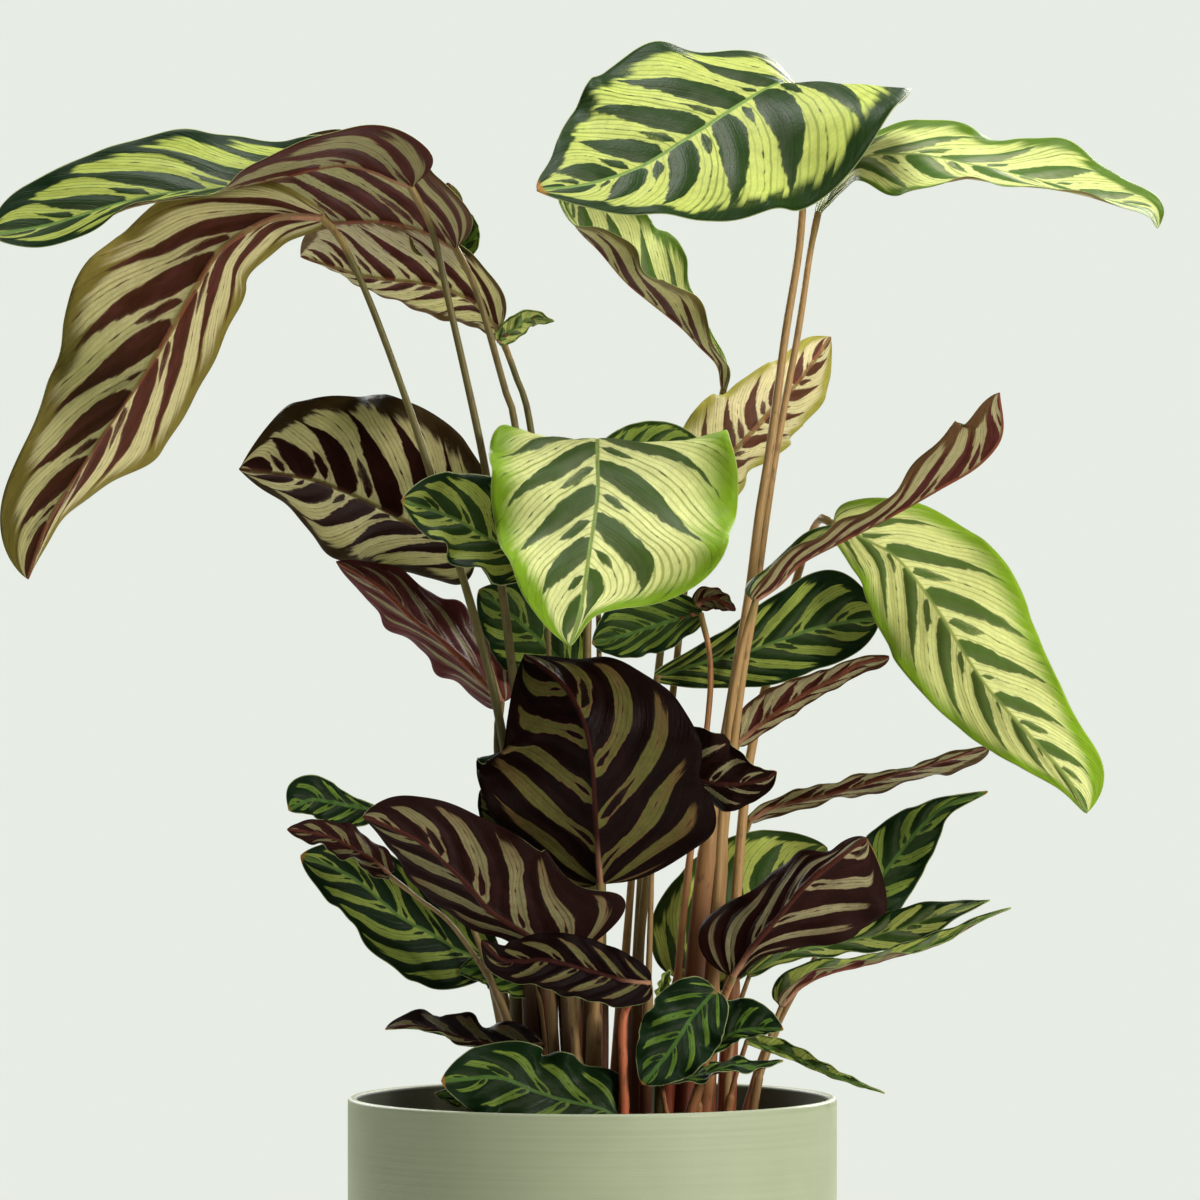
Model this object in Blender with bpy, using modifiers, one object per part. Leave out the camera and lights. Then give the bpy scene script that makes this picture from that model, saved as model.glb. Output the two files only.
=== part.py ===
"""A potted peacock calathea: a sage cylinder pot, its potting mix, and the leaves that grow from it.

Run with: blender --background --python part.py
Units are metres and +Z is up. The origin is on the floor, under the middle of the pot.
The tables of leaves are in millimetres, because that is how they were sized.
"""
from dataclasses import dataclass
from math import cos, pi, radians, sin

import bmesh
import bpy
import numpy as np

MM = 0.001

# Pot: a plain cylinder with a rounded rim and a flat underside
POT_RADIUS = 0.095
POT_HEIGHT = 0.175
POT_WALL = 0.0055
POT_FLOOR = 0.008
RIM_ROUND = 0.0024
FOOT_ROUND = 0.0030
POT_STEPS = 48
ROUND_STEPS = 3

# Potting mix: fills the pot to a finger's width below the rim
SEAT_GAP = 0.0003
MIX_DEPTH_BELOW_RIM = 0.018
MIX_TOP = POT_HEIGHT - MIX_DEPTH_BELOW_RIM
MIX_CROWN = 0.0025

# Blades
BLADE_THICKNESS = 0.0010
BLADE_ROWS = 12
BLADE_COLUMNS = 4
BASE_EDGE = 0.0012
TIP_EDGE = 0.0007
BASE_ROUNDNESS = 0.50
TIP_SHARPNESS = 0.72
LOBE_ENDS = 0.45

# Stalks
STALK_POINTS = 11
STALK_FOOT_RADIUS = 0.0026
STALK_TOP_RADIUS = 0.0014
STALK_GAP = 0.0004
STRAP_ROWS = 6
STRAP_FOOT = 0.0018
STRAP_TOP = 0.0011

FINE_STEPS = 160


@dataclass
class Leaf:
    """One leaf, in millimetres and degrees, from its base to its tip.

    left and right are the halves on either hand of someone who walks from base to tip with
    the face named by `faces` up. A half's lean is 0 when it is flat, grows as the half lifts
    towards that face and passes 90 when it folds over. Leans are given at equal steps.
    """

    name: str
    spine: tuple
    halves: tuple
    left: tuple
    right: tuple
    stalk: tuple
    faces: str = "upper"
    curl: float = 14.0
    ripple: tuple = (10.0, 3.0, 0.0)
    across: tuple = None
    lobe: float = 0.30


def smooth_path(points, steps=FINE_STEPS):
    """Points on a Catmull-Rom spline through the given points, evenly spaced along it."""
    p = np.array(points, dtype=float)
    if p.ndim == 1:
        p = p[:, None]
    if len(p) == 1:
        return np.full(steps, p[0, 0])
    ends = np.vstack([2 * p[0] - p[1], p, 2 * p[-1] - p[-2]])
    t = np.linspace(0, len(p) - 1 - 1e-9, steps * 2)
    k = t.astype(int)
    f = (t - k)[:, None]
    a, b, c, d = ends[k], ends[k + 1], ends[k + 2], ends[k + 3]
    curve = 0.5 * (2 * b + (c - a) * f + (2 * a - 5 * b + 4 * c - d) * f**2
                   + (3 * b - a - 3 * c + d) * f**3)
    if p.shape[1] == 1:
        return np.interp(np.linspace(0, 1, steps), np.linspace(0, 1, len(curve)), curve[:, 0])
    run = np.concatenate([[0], np.cumsum(np.linalg.norm(np.diff(curve, axis=0), axis=1))])
    even = np.linspace(0, run[-1], steps)
    return np.stack([np.interp(even, run, curve[:, i]) for i in range(3)], axis=1)


def unit(v):
    return v / np.linalg.norm(v, axis=-1, keepdims=True)


def at(fine, u):
    """Read a finely sampled list of values or points at u, from 0 to 1."""
    place = np.linspace(0, 1, len(fine))
    if fine.ndim == 1:
        return np.interp(u, place, fine)
    return np.stack([np.interp(u, place, fine[:, i]) for i in range(fine.shape[1])], axis=-1)


def across_of(leaf):
    """The direction that the left half points in, before it leans."""
    if leaf.across:
        return unit(np.array(leaf.across, dtype=float))
    run = np.array(leaf.spine[-1], dtype=float) - np.array(leaf.spine[0], dtype=float)
    return unit(np.array([-run[2], 0.0, run[0]]))


def outline(u):
    """Share of the full half width at u: round at the base, pointed at the tip."""
    widest = BASE_ROUNDNESS / (BASE_ROUNDNESS + TIP_SHARPNESS)
    grow = np.clip(u / widest, 0, None) ** BASE_ROUNDNESS
    return grow * np.clip((1 - u) / (1 - widest), 0, None) ** TIP_SHARPNESS


def blade_points(leaf, u, v):
    """Points of the blade, in metres: u runs from base to tip, v from -1 (right) to 1 (left)."""
    spine = smooth_path(leaf.spine) * MM
    length = np.linalg.norm(np.diff(spine, axis=0), axis=1).sum()
    middle = at(spine, u)
    along = unit(at(np.gradient(spine, axis=0), u))
    reach = across_of(leaf)
    reach = unit(reach - (along @ reach)[..., None] * along)
    lift = np.cross(along, reach)

    is_left = v >= 0
    side = np.where(is_left, 1.0, -1.0)
    full = np.where(is_left, *[at(smooth_path(half), u) for half in leaf.halves]) * MM
    share = outline(u)
    edge = BASE_EDGE + (TIP_EDGE - BASE_EDGE) * u
    width = full * share + edge
    lean = np.radians(np.where(is_left, at(smooth_path(leaf.left), u), at(smooth_path(leaf.right), u)))
    swing, waves, phase = leaf.ripple
    ripple = swing * share * np.sin(2 * pi * (waves * u + phase) + 1.3 * side)
    bend = np.radians(leaf.curl + 2 * ripple)
    bend = np.where(np.abs(bend) < 0.02, 0.02, bend)
    start = lean - radians(leaf.curl) / 2
    far = np.abs(v)
    flat = (np.sin(start + bend * far) - np.sin(start)) / bend
    up = (np.cos(start) - np.cos(start + bend * far)) / bend
    back = leaf.lobe * full * share * far**2 * np.clip(1 - u / LOBE_ENDS, 0, None) ** 2
    back = np.minimum(back, length * leaf.lobe)
    return (middle + (side * width * flat)[..., None] * reach + (width * up)[..., None] * lift
            - back[..., None] * along)


def material(name, colour, roughness):
    mat = bpy.data.materials.new(name)
    mat.use_nodes = True
    shader = mat.node_tree.nodes["Principled BSDF"]
    shader.inputs["Base Color"].default_value = (*colour, 1.0)
    shader.inputs["Roughness"].default_value = roughness
    shader.inputs["Metallic"].default_value = 0.0
    mat.diffuse_color = (*colour, 1.0)
    return mat


def add_object(name, data, mat, home):
    obj = bpy.data.objects.new(name, data)
    data.materials.append(mat)
    home.objects.link(obj)
    return obj


def turned(name, profile, mat, home):
    """A solid of revolution from a profile that runs down the outside and up the inside."""
    mesh = bpy.data.meshes.new(name)
    mesh.from_pydata([(r, 0, z) for r, z in profile], [(i, i + 1) for i in range(len(profile) - 1)], [])
    obj = add_object(name, mesh, mat, home)
    screw = obj.modifiers.new("Turn", "SCREW")
    screw.steps = POT_STEPS
    screw.render_steps = POT_STEPS
    screw.use_merge_vertices = True
    screw.merge_threshold = 0.00001
    screw.use_smooth_shade = True
    return obj


def arc(centre, radius, start, end):
    """Points of a rounded corner, with angles in degrees."""
    angles = [radians(start + (end - start) * i / ROUND_STEPS) for i in range(ROUND_STEPS + 1)]
    return [(centre[0] + radius * cos(a), centre[1] + radius * sin(a)) for a in angles]


def make_pot(home):
    inner = POT_RADIUS - POT_WALL
    rim_middle = POT_RADIUS - POT_WALL / 2
    profile = [(rim_middle, POT_HEIGHT)]
    profile += arc((POT_RADIUS - RIM_ROUND, POT_HEIGHT - RIM_ROUND), RIM_ROUND, 90, 0)
    profile += arc((POT_RADIUS - FOOT_ROUND, FOOT_ROUND), FOOT_ROUND, 0, -90)
    profile += [(0.0, 0.0)]
    profile += [(0.0, POT_FLOOR)]
    profile += [(inner, POT_FLOOR)]
    profile += arc((inner + RIM_ROUND, POT_HEIGHT - RIM_ROUND), RIM_ROUND, 180, 90)
    profile += [(rim_middle, POT_HEIGHT)]
    return turned("pot", profile, material("sage_glaze", (0.42, 0.47, 0.28), 0.55), home)


def make_potting_mix(home):
    radius = POT_RADIUS - POT_WALL - SEAT_GAP
    bottom = POT_FLOOR + SEAT_GAP
    profile = [(0.0, MIX_TOP), (radius * 0.75, MIX_TOP), (radius, MIX_TOP - MIX_CROWN)]
    profile += [(radius, bottom), (0.0, bottom)]
    return turned("potting_mix", profile, material("dark_mix", (0.035, 0.024, 0.018), 0.95), home)


def sheet(name, rows, columns, place, mat, home):
    """A grid bent to place(u, v) and given the blade's thickness."""
    mesh = bpy.data.meshes.new(name)
    bm = bmesh.new()
    bmesh.ops.create_grid(bm, x_segments=rows, y_segments=columns, size=1.0)
    corners = np.array([vert.co[:] for vert in bm.verts])
    for vert, point in zip(bm.verts, place((corners[:, 0] + 1) / 2, corners[:, 1])):
        vert.co = point
    bm.to_mesh(mesh)
    bm.free()
    mesh.shade_smooth()
    obj = add_object(name, mesh, mat, home)
    thick = obj.modifiers.new("Thickness", "SOLIDIFY")
    thick.thickness = BLADE_THICKNESS
    thick.offset = 0.0
    thick.use_even_offset = False
    return obj


def make_blade(leaf, mat, home):
    return sheet(leaf.name + "_blade", BLADE_ROWS, BLADE_COLUMNS,
                 lambda u, v: blade_points(leaf, u, v), mat, home)


def lifted_foot(leaf, radius):
    """The stalk's points, in metres, with the foot raised so that its tilted end clears the mix."""
    path = np.array(leaf.stalk, dtype=float) * MM
    run = unit(path[1] - path[0])
    path[0, 2] = MIX_TOP + STALK_GAP + radius * np.hypot(run[0], run[1])
    return path


def stalk_path(leaf):
    """The stalk's line, in metres, which ends just short of the blade's base."""
    spine = smooth_path(leaf.spine) * MM
    base_run = unit(spine[2] - spine[0])
    path = lifted_foot(leaf, STALK_FOOT_RADIUS)
    arrive = unit(spine[0] - path[-1])
    turn = np.linalg.norm(np.cross(base_run, arrive))
    top = spine[0] - base_run * (STALK_GAP + STALK_TOP_RADIUS * turn)
    return smooth_path(np.vstack([path, top]))


def make_stalk(leaf, mat, home):
    curve = bpy.data.curves.new(leaf.name + "_stalk", "CURVE")
    curve.dimensions = "3D"
    curve.bevel_depth = 1.0
    curve.bevel_resolution = 1
    curve.use_fill_caps = True
    spline = curve.splines.new("POLY")
    spline.points.add(STALK_POINTS - 1)
    places = np.linspace(0, 1, STALK_POINTS)
    line = at(stalk_path(leaf), places)
    for point, co, share in zip(spline.points, line, places):
        point.co = (*co, 1.0)
        point.radius = STALK_FOOT_RADIUS + (STALK_TOP_RADIUS - STALK_FOOT_RADIUS) * share
    return add_object(leaf.name + "_stalk", curve, mat, home)


def make_whole_leaf(leaf, mat, home):
    """A small leaf as one piece: its stalk is a narrow strap that opens into the blade."""
    strap_share = STRAP_ROWS / (STRAP_ROWS + BLADE_ROWS)
    path = smooth_path(np.vstack([lifted_foot(leaf, STRAP_FOOT), np.array(leaf.spine[0]) * MM]))
    runs = unit(np.gradient(path, axis=0))
    first = blade_points(leaf, np.array([0.0, 0.0]), np.array([1.0, -1.0]))
    reach = unit(first[0] - first[1])
    reaches = np.zeros_like(path)
    for i in range(len(path) - 1, -1, -1):
        reach = unit(reach - (reach @ runs[i]) * runs[i])
        reaches[i] = reach

    def place(s, v):
        on_strap = s < strap_share - 1e-6
        share = np.clip(s / strap_share, 0, 1)
        half = STRAP_FOOT + (STRAP_TOP - STRAP_FOOT) * share
        strap = at(path, share) + (half * v)[..., None] * unit(at(reaches, share))
        blade = blade_points(leaf, np.clip((s - strap_share) / (1 - strap_share), 0, 1), v)
        return np.where(on_strap[..., None], strap, blade)

    return sheet(leaf.name, STRAP_ROWS + BLADE_ROWS, BLADE_COLUMNS, place, mat, home)


# Leaves whose blade and stalk are separate pieces
LEAVES = [
    Leaf("leaf_left_long",
         spine=((-70, -14, 528), (-94, -16, 536), (-118, -18, 532), (-141, -20, 527), (-166, -24, 524),
                (-187, -28, 519), (-209, -32, 512), (-231, -36, 508)),
         halves=((35,), (32,)), left=(142, 124, 114, 96, 82, 72), right=(-60, -58, -48, -30, -25, -20),
         stalk=((-14, 4, 157), (-22, -6, 260), (-32, -14, 350), (-36, -16, 380), (-42, -12, 422),
                (-55, -10, 481), (-62, -11, 511))),
    Leaf("leaf_left_drooping", faces="under",
         spine=((-104, -10, 516), (-122, -11, 516), (-135, -12, 510), (-145, -14, 502), (-152, -16, 491),
                (-159, -18, 479), (-172, -21, 456), (-184, -24, 438), (-195, -26, 421), (-209, -29, 398),
                (-217, -30, 376)),
         halves=((34,), (30, 34, 42, 42, 32, 34, 30, 28)),
         left=(-55, -52, -50, -52, -55, -60, -72, -75), right=(-60, -30, -15, -12, -35, -30, -25, -20),
         stalk=((-22, -2, 157), (-26, -6, 240), (-37, -10, 327), (-62, -12, 415), (-82, -12, 473),
                (-96, -11, 505))),
    Leaf("leaf_left_inner", faces="under",
         spine=((-53, 8, 505), (-66, 14, 512.5), (-82, 24, 516.5), (-103, 52, 518), (-119, 80, 521),
                (-132, 104, 525)),
         halves=((26,), (30,)), left=(-82, -80, -78, -78), right=(50, 48, 45, 40),
         ripple=(3.0, 3.0, 0.0),
         stalk=((-6, 12, 157), (-12, 16, 260), (-20, 19, 360), (-30, 16, 435), (-34, 14, 450),
                (-45, 10, 488))),
    Leaf("leaf_left_under", faces="under",
         spine=((-37, 24, 473), (-47, 28, 484), (-63, 34, 489), (-82, 46, 492), (-95, 60, 495),
                (-106, 74, 499), (-117, 90, 503)),
         halves=((29,), (22,)), left=(-55, -55, -60, -60), right=(38, 42, 45, 50),
         ripple=(3.0, 3.0, 0.0),
         stalk=((2, 18, 157), (-4, 26, 260), (-14, 30, 350), (-24, 27, 434), (-30, 25, 456))),
    Leaf("leaf_crown",
         spine=((82, 55, 568), (73, 40, 571), (56, 18, 560), (38, -3, 548), (19, -22, 535),
                (-2, -42, 527), (-21, -54, 524)),
         across=(0.72, -0.69, 0), curl=-18, lobe=0.6,
         halves=((40, 41, 41, 40, 42), (35, 38, 43, 50, 58)),
         left=(-32, -42, -46, -45, -42, -40), right=(35, 40, 42, 44, 45, 45),
         stalk=((34, 8, 157), (44, 9, 263), (55, 10, 333), (61, 12, 368), (65, 15, 399), (70, 20, 430),
                (76, 31, 473), (82, 44, 510), (84, 53, 545))),
    Leaf("leaf_upper_right",
         spine=((89, 51, 521), (98, 49, 533), (107, 46, 543), (128, 40, 544), (146, 36, 540),
                (163, 33, 536), (183, 30, 531), (203, 27, 525), (218, 26, 521), (222, 26, 514)),
         halves=((36,), (32,)), left=(-60, -62, -66, -64, -62, -60), right=(62, 66, 84, 92, 90, 85),
         stalk=((42, 15, 157), (50, 18, 263), (58, 20, 333), (64, 22, 370), (68, 25, 400), (73, 29, 431),
                (81, 38, 473), (86, 46, 505))),
    Leaf("leaf_upper_middle",
         spine=((53, 94, 453), (50, 93, 462), (43, 90, 470), (36, 87, 476), (23, 84, 485), (12, 83, 494),
                (2, 83, 505), (-5, 84, 514), (-10, 85, 523), (-11, 87, 533)),
         halves=((10, 18, 26, 27, 28), (7, 12, 22, 28, 30)),
         left=(100, 108, 115, 112, 105, 80), right=(-30, -30, -28, -28, -25, -25),
         stalk=((16, 32, 157), (18, 50, 235), (27, 60, 347), (39, 82, 400), (49, 93, 436))),
    Leaf("leaf_pale", faces="under",
         spine=((42, 25, 415), (58, 44, 429), (69, 60, 441), (83, 80, 456), (96, 102, 474)),
         halves=((30,), (20, 22, 26, 28, 30)), left=(-20, -20, -20, -20), right=(-45, -42, -40, -40),
         stalk=((18, 24, 157), (19, 30, 235), (28, 37, 300), (35, 38, 360), (39, 33, 395))),
    Leaf("leaf_centre",
         spine=((2, 2, 419), (2, -14, 427), (2, -32, 430), (2, -48, 421), (2, -62, 407), (-1, -80, 386),
                (-4, -92, 366), (-8, -99, 351)),
         across=(1, 0, 0), halves=((54, 54, 55, 60, 52, 30, 20), (42,)),
         left=(8, 10, 9, 4, -5, -25, -10), right=(8, 11, 8, 0, 5, 10),
         stalk=((0, -6, 157), (0, -8, 260), (-2, -7, 350), (1, -1, 395))),
    Leaf("leaf_behind_centre",
         spine=((43, 20, 363), (28, 18, 359), (12, 16, 354), (0, 15, 351)),
         halves=((10, 14, 16, 16), (8, 14, 18, 18)), left=(-30, -30, -35, -40), right=(-12, -15, -15, -15),
         ripple=(4.0, 3.0, 0.0),
         stalk=((28, 2, 157), (36, 6, 250), (45, 14, 320), (46, 17, 345))),
    Leaf("leaf_left_dark", faces="under",
         spine=((-46, 4, 388), (-69, 8, 397), (-85, 14, 405), (-98, 22, 411), (-113, 34, 416),
                (-140, 55, 420)),
         halves=((36, 38, 40, 40, 36), (40, 42, 44, 46, 54)), left=(-42, -42, -40, -40),
         right=(-5, -5, -10, -15), ripple=(5.0, 3.0, 0.0),
         stalk=((-16, 12, 157), (-18, 14, 260), (-26, 13, 330), (-32, 10, 358), (-39, 7, 376))),
    Leaf("leaf_burgundy", faces="under",
         spine=((-38, -4, 324), (-48, -5, 335), (-59, -4, 346), (-73, 0, 357), (-86, 6, 368),
                (-99, 14, 378)),
         halves=((24,), (22,)), left=(-66, -65, -64, -60), right=(-52, -54, -50, -40),
         ripple=(6.0, 3.0, 0.0),
         stalk=((-28, 4, 157), (-30, 1, 230), (-35, -3, 290), (-37, -4, 312))),
    Leaf("leaf_centre_dark", faces="under", lobe=0.12,
         spine=((3, -32, 259), (2, -44, 275), (0, -54, 290), (-4, -60, 306), (-8, -61, 322),
                (-15, -56, 335), (-22, -48, 344), (-28, -36, 350)),
         halves=((24, 29, 33, 37, 38, 38), (38, 46, 50, 52, 56, 62)), left=(-15, -15, -20, -25),
         right=(-10, -12, -18, -25), ripple=(5.0, 3.0, 0.0),
         stalk=((0, -26, 157), (1, -28, 210), (3, -30, 245))),
    Leaf("leaf_low_left_dark", faces="under",
         spine=((-10, -48, 230), (-24, -53, 240), (-38, -56, 249), (-46, -58, 258), (-55, -60, 267),
                (-67, -62, 277), (-87, -66, 286)),
         halves=((24,), (44, 38, 33, 30, 29)), left=(-50, -48, -45, -40), right=(0, 0, -5, -10),
         ripple=(4.0, 3.0, 0.0),
         stalk=((-6, -44, 157), (-6, -45, 190), (-8, -47, 216))),
    Leaf("leaf_low_left_green",
         spine=((-38, 2, 227), (-50, 0, 231), (-62, -2, 238), (-75, -4, 245), (-85, -5, 254),
                (-96, -6, 262), (-113, -8, 269)),
         halves=((23,), (22,)), left=(35, 38, 40, 35), right=(-40, -35, -30, -25),
         ripple=(6.0, 3.0, 0.0),
         stalk=((-26, 12, 157), (-29, 10, 185), (-34, 5, 214))),
    Leaf("leaf_low_front", faces="under",
         spine=((12, -60, 209), (-2, -62, 214), (-10, -63, 219), (-20, -65, 223), (-30, -67, 228),
                (-43, -70, 234)),
         halves=((20,), (13,)), left=(84, 86, 88, 88), right=(-20, -20, -22, -30), ripple=(4.0, 3.0, 0.0),
         stalk=((14, -52, 157), (14, -55, 180), (13, -58, 198))),
    Leaf("leaf_right_rising",
         spine=((63, -3, 368), (72, -4, 374), (88, -7, 384), (104, -10, 393), (120, -13, 403),
                (132, -16, 415), (145, -18, 429), (158, -20, 444)),
         halves=((17,), (16,)), left=(-55, -60, -65, -55, -45), right=(125, 120, 118, 125, 115),
         ripple=(8.0, 4.0, 0.0),
         stalk=((44, -6, 157), (48, -6, 240), (52, -5, 310), (57, -4, 345))),
    Leaf("leaf_right_bright",
         spine=((99, 14, 394), (108, 11, 391), (118, 7, 385), (128, 2, 373), (136, -3, 361),
                (145, -8, 346), (153, -13, 334), (164, -19, 321), (172, -23, 312), (184, -28, 299),
                (193, -30, 286)),
         halves=((27, 30, 29, 27, 25, 26, 34), (24, 25, 25, 24, 22, 22, 24)),
         left=(-5, -8, -10, -10), right=(-20, -20, -20, -15), ripple=(7.0, 3.0, 0.0),
         stalk=((52, 22, 157), (56, 31, 240), (60, 38, 290), (64, 42, 315), (70, 42, 340),
                (77, 40, 362), (83, 37, 378), (91, 26, 389))),
    Leaf("leaf_right_green",
         spine=((25, 28, 338), (46, 28, 344), (62, 28, 348), (76, 28, 353), (92, 28, 358),
                (113, 27, 361)),
         halves=((10, 16, 24, 27, 32), (10, 11, 13, 14, 18)), left=(0, 0, 0, 0), right=(-15, -15, -15, -15),
         ripple=(4.0, 3.0, 0.0),
         stalk=((8, 32, 157), (14, 34, 240), (20, 33, 310))),
    Leaf("leaf_right_thin", faces="under",
         spine=((62, 50, 281), (71, 48, 286), (85, 42, 290), (104, 32, 295), (123, 22, 301),
                (139, 12, 306), (154, 2, 311)),
         halves=((15,), (15,)), left=(35, 50, 60, 50), right=(-60, -60, -60, -50),
         stalk=((44, 42, 157), (50, 54, 220), (58, 54, 266))),
    Leaf("leaf_low_right_dark", faces="under",
         spine=((54, -28, 223), (62, -31, 235), (72, -35, 247), (82, -39, 259), (94, -42, 269),
                (105, -41, 277)),
         halves=((26, 24, 20, 18), (18, 20, 24, 30, 42)), left=(-20, -50, -60, -60), right=(-15, -15, -20, -25),
         ripple=(5.0, 3.0, 0.0),
         stalk=((42, -20, 157), (45, -21, 185), (50, -25, 212))),
]

# Small low leaves that are one piece with their stalk
SMALL_LEAVES = [
    Leaf("small_leaf_01",
         spine=((-8, 4, 340), (-18, 3, 350), (-30, 1, 361), (-44, -2, 372)),
         halves=((17,), (17,)), left=(0, 0, 0), right=(0, 0, 0),
         stalk=((-7, 5, 157), (-7, 6, 250), (-6, 6, 325))),
    Leaf("small_leaf_02", faces="under",
         spine=((-19, -34, 197), (-30, -38, 197), (-47, -42, 199), (-63, -45, 204), (-71, -46, 205),
                (-79, -47, 204)),
         halves=((16,), (16,)), left=(80, 80, 80), right=(-60, -60, -60),
         stalk=((-14, -32, 157), (-15, -33, 180))),
    Leaf("small_leaf_03",
         spine=((5, -58, 172), (-3, -61, 176), (-12, -63, 180), (-23, -66, 184), (-36, -68, 189),
                (-58, -72, 187)),
         halves=((23,), (20,)), left=(25, 25, 20, 15), right=(-35, -30, -25, -20),
         stalk=((6, -48, 157), (6, -54, 165))),
    Leaf("small_leaf_04", faces="under",
         spine=((26, -20, 302), (42, -22, 304), (56, -24, 302), (71, -26, 300)),
         halves=((16,), (14,)), left=(-20, -20, -20), right=(-30, -30, -30),
         stalk=((20, -12, 157), (22, -16, 230), (24, -19, 288))),
    Leaf("small_leaf_05",
         spine=((34, 32, 219), (50, 38, 240), (69, 43, 257), (93, 49, 270)),
         halves=((28,), (22,)), left=(0, 0, 0), right=(0, 0, 0),
         stalk=((28, 32, 157), (30, 32, 190))),
    Leaf("small_leaf_06",
         spine=((96, 28, 240), (108, 27, 252), (120, 26, 268), (130, 25, 280), (138, 23, 287),
                (155, 20, 293)),
         halves=((17, 17, 17, 12, 5, 4), (17, 17, 17, 12, 5, 4)), left=(0, 0, 0), right=(0, 0, 0),
         stalk=((58, 24, 157), (68, 28, 190), (83, 30, 220))),
    Leaf("small_leaf_07",
         spine=((61, 10, 224), (77, 12, 234), (96, 13, 241), (116, 13, 246), (135, 12, 250),
                (155, 8, 252)),
         halves=((11,), (11,)), left=(-60, -60, -60), right=(60, 60, 60), ripple=(5.0, 3.0, 0.0),
         stalk=((52, 4, 157), (53, 7, 185), (57, 10, 208))),
    Leaf("small_leaf_08",
         spine=((73, -10, 211), (81, -11, 218), (93, -12, 222), (112, -13, 226), (131, -14, 233),
                (151, -14, 242), (162, -13, 245)),
         halves=((12,), (12,)), left=(-50, -55, -60, -60), right=(130, 110, 80, 60),
         stalk=((60, -12, 157), (64, -11, 180), (70, -10, 202))),
    Leaf("small_leaf_09",
         spine=((47, -50, 219), (38, -54, 209), (30, -58, 197), (19, -62, 184)),
         halves=((17,), (17,)), left=(0, 0, 0), right=(0, 0, 0),
         stalk=((32, -46, 157), (40, -51, 185), (46, -51, 212))),
    Leaf("small_leaf_10",
         spine=((42, -38, 194), (56, -42, 203), (73, -46, 204)),
         halves=((13,), (12,)), left=(-20, -20, -20), right=(20, 20, 20),
         stalk=((40, -29, 157), (41, -34, 180))),
    Leaf("small_leaf_11",
         spine=((59, -30, 199), (77, -33, 193), (92, -36, 186), (112, -40, 179)),
         halves=((5,), (5,)), left=(0, 40, 60), right=(0, -20, -40),
         stalk=((50, -23, 157), (54, -26, 180))),
    Leaf("small_leaf_12",
         spine=((52, -48, 174), (64, -48, 178), (78, -44, 182)),
         halves=((11,), (9,)), left=(-70, -70, -70), right=(70, 70, 70),
         stalk=((46, -42, 157), (48, -45, 166))),
    Leaf("small_leaf_13",
         spine=((-22, -30, 384), (-39, -32, 391), (-49, -34, 397), (-60, -37, 402), (-73, -42, 406)),
         halves=((20,), (22,)), left=(45, 45, 45, 40), right=(-30, -25, -20, -15),
         stalk=((-8, -14, 157), (-12, -17, 260), (-16, -22, 330), (-18, -27, 370))),
    Leaf("small_leaf_14", faces="under",
         spine=((57, 25, 312), (68, 25, 321), (81, 23, 330), (94, 20, 337), (104, 17, 343),
                (116, 13, 346)),
         halves=((11,), (12,)), left=(15, 15, 15, 15), right=(-30, -30, -30, -30), ripple=(5.0, 3.0, 0.0),
         stalk=((34, 26, 157), (43, 26, 220), (51, 25, 290))),
    Leaf("small_leaf_15",
         spine=((-84, -16, 287), (-96, -18, 289), (-108, -20, 291), (-117, -22, 287)),
         halves=((8,), (10,)), left=(10, 10, 10), right=(-15, -15, -15),
         stalk=((-30, -8, 157), (-38, -8, 216), (-58, -12, 266), (-74, -15, 281))),
    Leaf("small_leaf_16", faces="under",
         spine=((-78, -30, 262), (-88, -31, 270), (-102, -33, 277), (-117, -36, 280)),
         halves=((11,), (9,)), left=(60, 60, 50), right=(-40, -40, -40),
         stalk=((-24, -14, 157), (-33, -15, 206), (-52, -22, 240), (-68, -28, 254))),
]


def clear_scene():
    for obj in list(bpy.data.objects):
        bpy.data.objects.remove(obj, do_unlink=True)


def main():
    clear_scene()
    home = bpy.data.collections.new("potted_calathea")
    bpy.context.scene.collection.children.link(home)
    make_pot(home)
    make_potting_mix(home)
    blade_colours = {
        "upper": material("blade_green", (0.16, 0.30, 0.07), 0.42),
        "under": material("blade_maroon", (0.16, 0.05, 0.04), 0.42),
    }
    stalk_brown = material("stalk_tan", (0.36, 0.20, 0.07), 0.5)
    for leaf in LEAVES:
        make_blade(leaf, blade_colours[leaf.faces], home)
        make_stalk(leaf, stalk_brown, home)
    for leaf in SMALL_LEAVES:
        make_whole_leaf(leaf, blade_colours[leaf.faces], home)


main()
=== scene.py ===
from dataclasses import dataclass
from math import cos, pi, radians, sin

import bpy
import numpy as np
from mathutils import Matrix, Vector


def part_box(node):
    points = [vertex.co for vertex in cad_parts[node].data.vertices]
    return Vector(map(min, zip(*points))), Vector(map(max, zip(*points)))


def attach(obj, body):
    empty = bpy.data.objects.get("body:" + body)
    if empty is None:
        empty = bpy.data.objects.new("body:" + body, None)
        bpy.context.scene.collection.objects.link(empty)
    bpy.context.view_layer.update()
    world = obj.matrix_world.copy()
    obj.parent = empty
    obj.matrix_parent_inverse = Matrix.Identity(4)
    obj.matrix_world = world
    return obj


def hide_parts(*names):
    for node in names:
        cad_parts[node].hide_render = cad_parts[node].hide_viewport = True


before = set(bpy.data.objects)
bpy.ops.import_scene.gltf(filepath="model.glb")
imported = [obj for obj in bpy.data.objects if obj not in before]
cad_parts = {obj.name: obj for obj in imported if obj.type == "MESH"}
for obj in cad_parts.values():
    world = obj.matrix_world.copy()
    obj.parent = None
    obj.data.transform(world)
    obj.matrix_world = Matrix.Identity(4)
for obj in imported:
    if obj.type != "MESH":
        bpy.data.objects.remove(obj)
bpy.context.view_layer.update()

MM = 0.001

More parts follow.
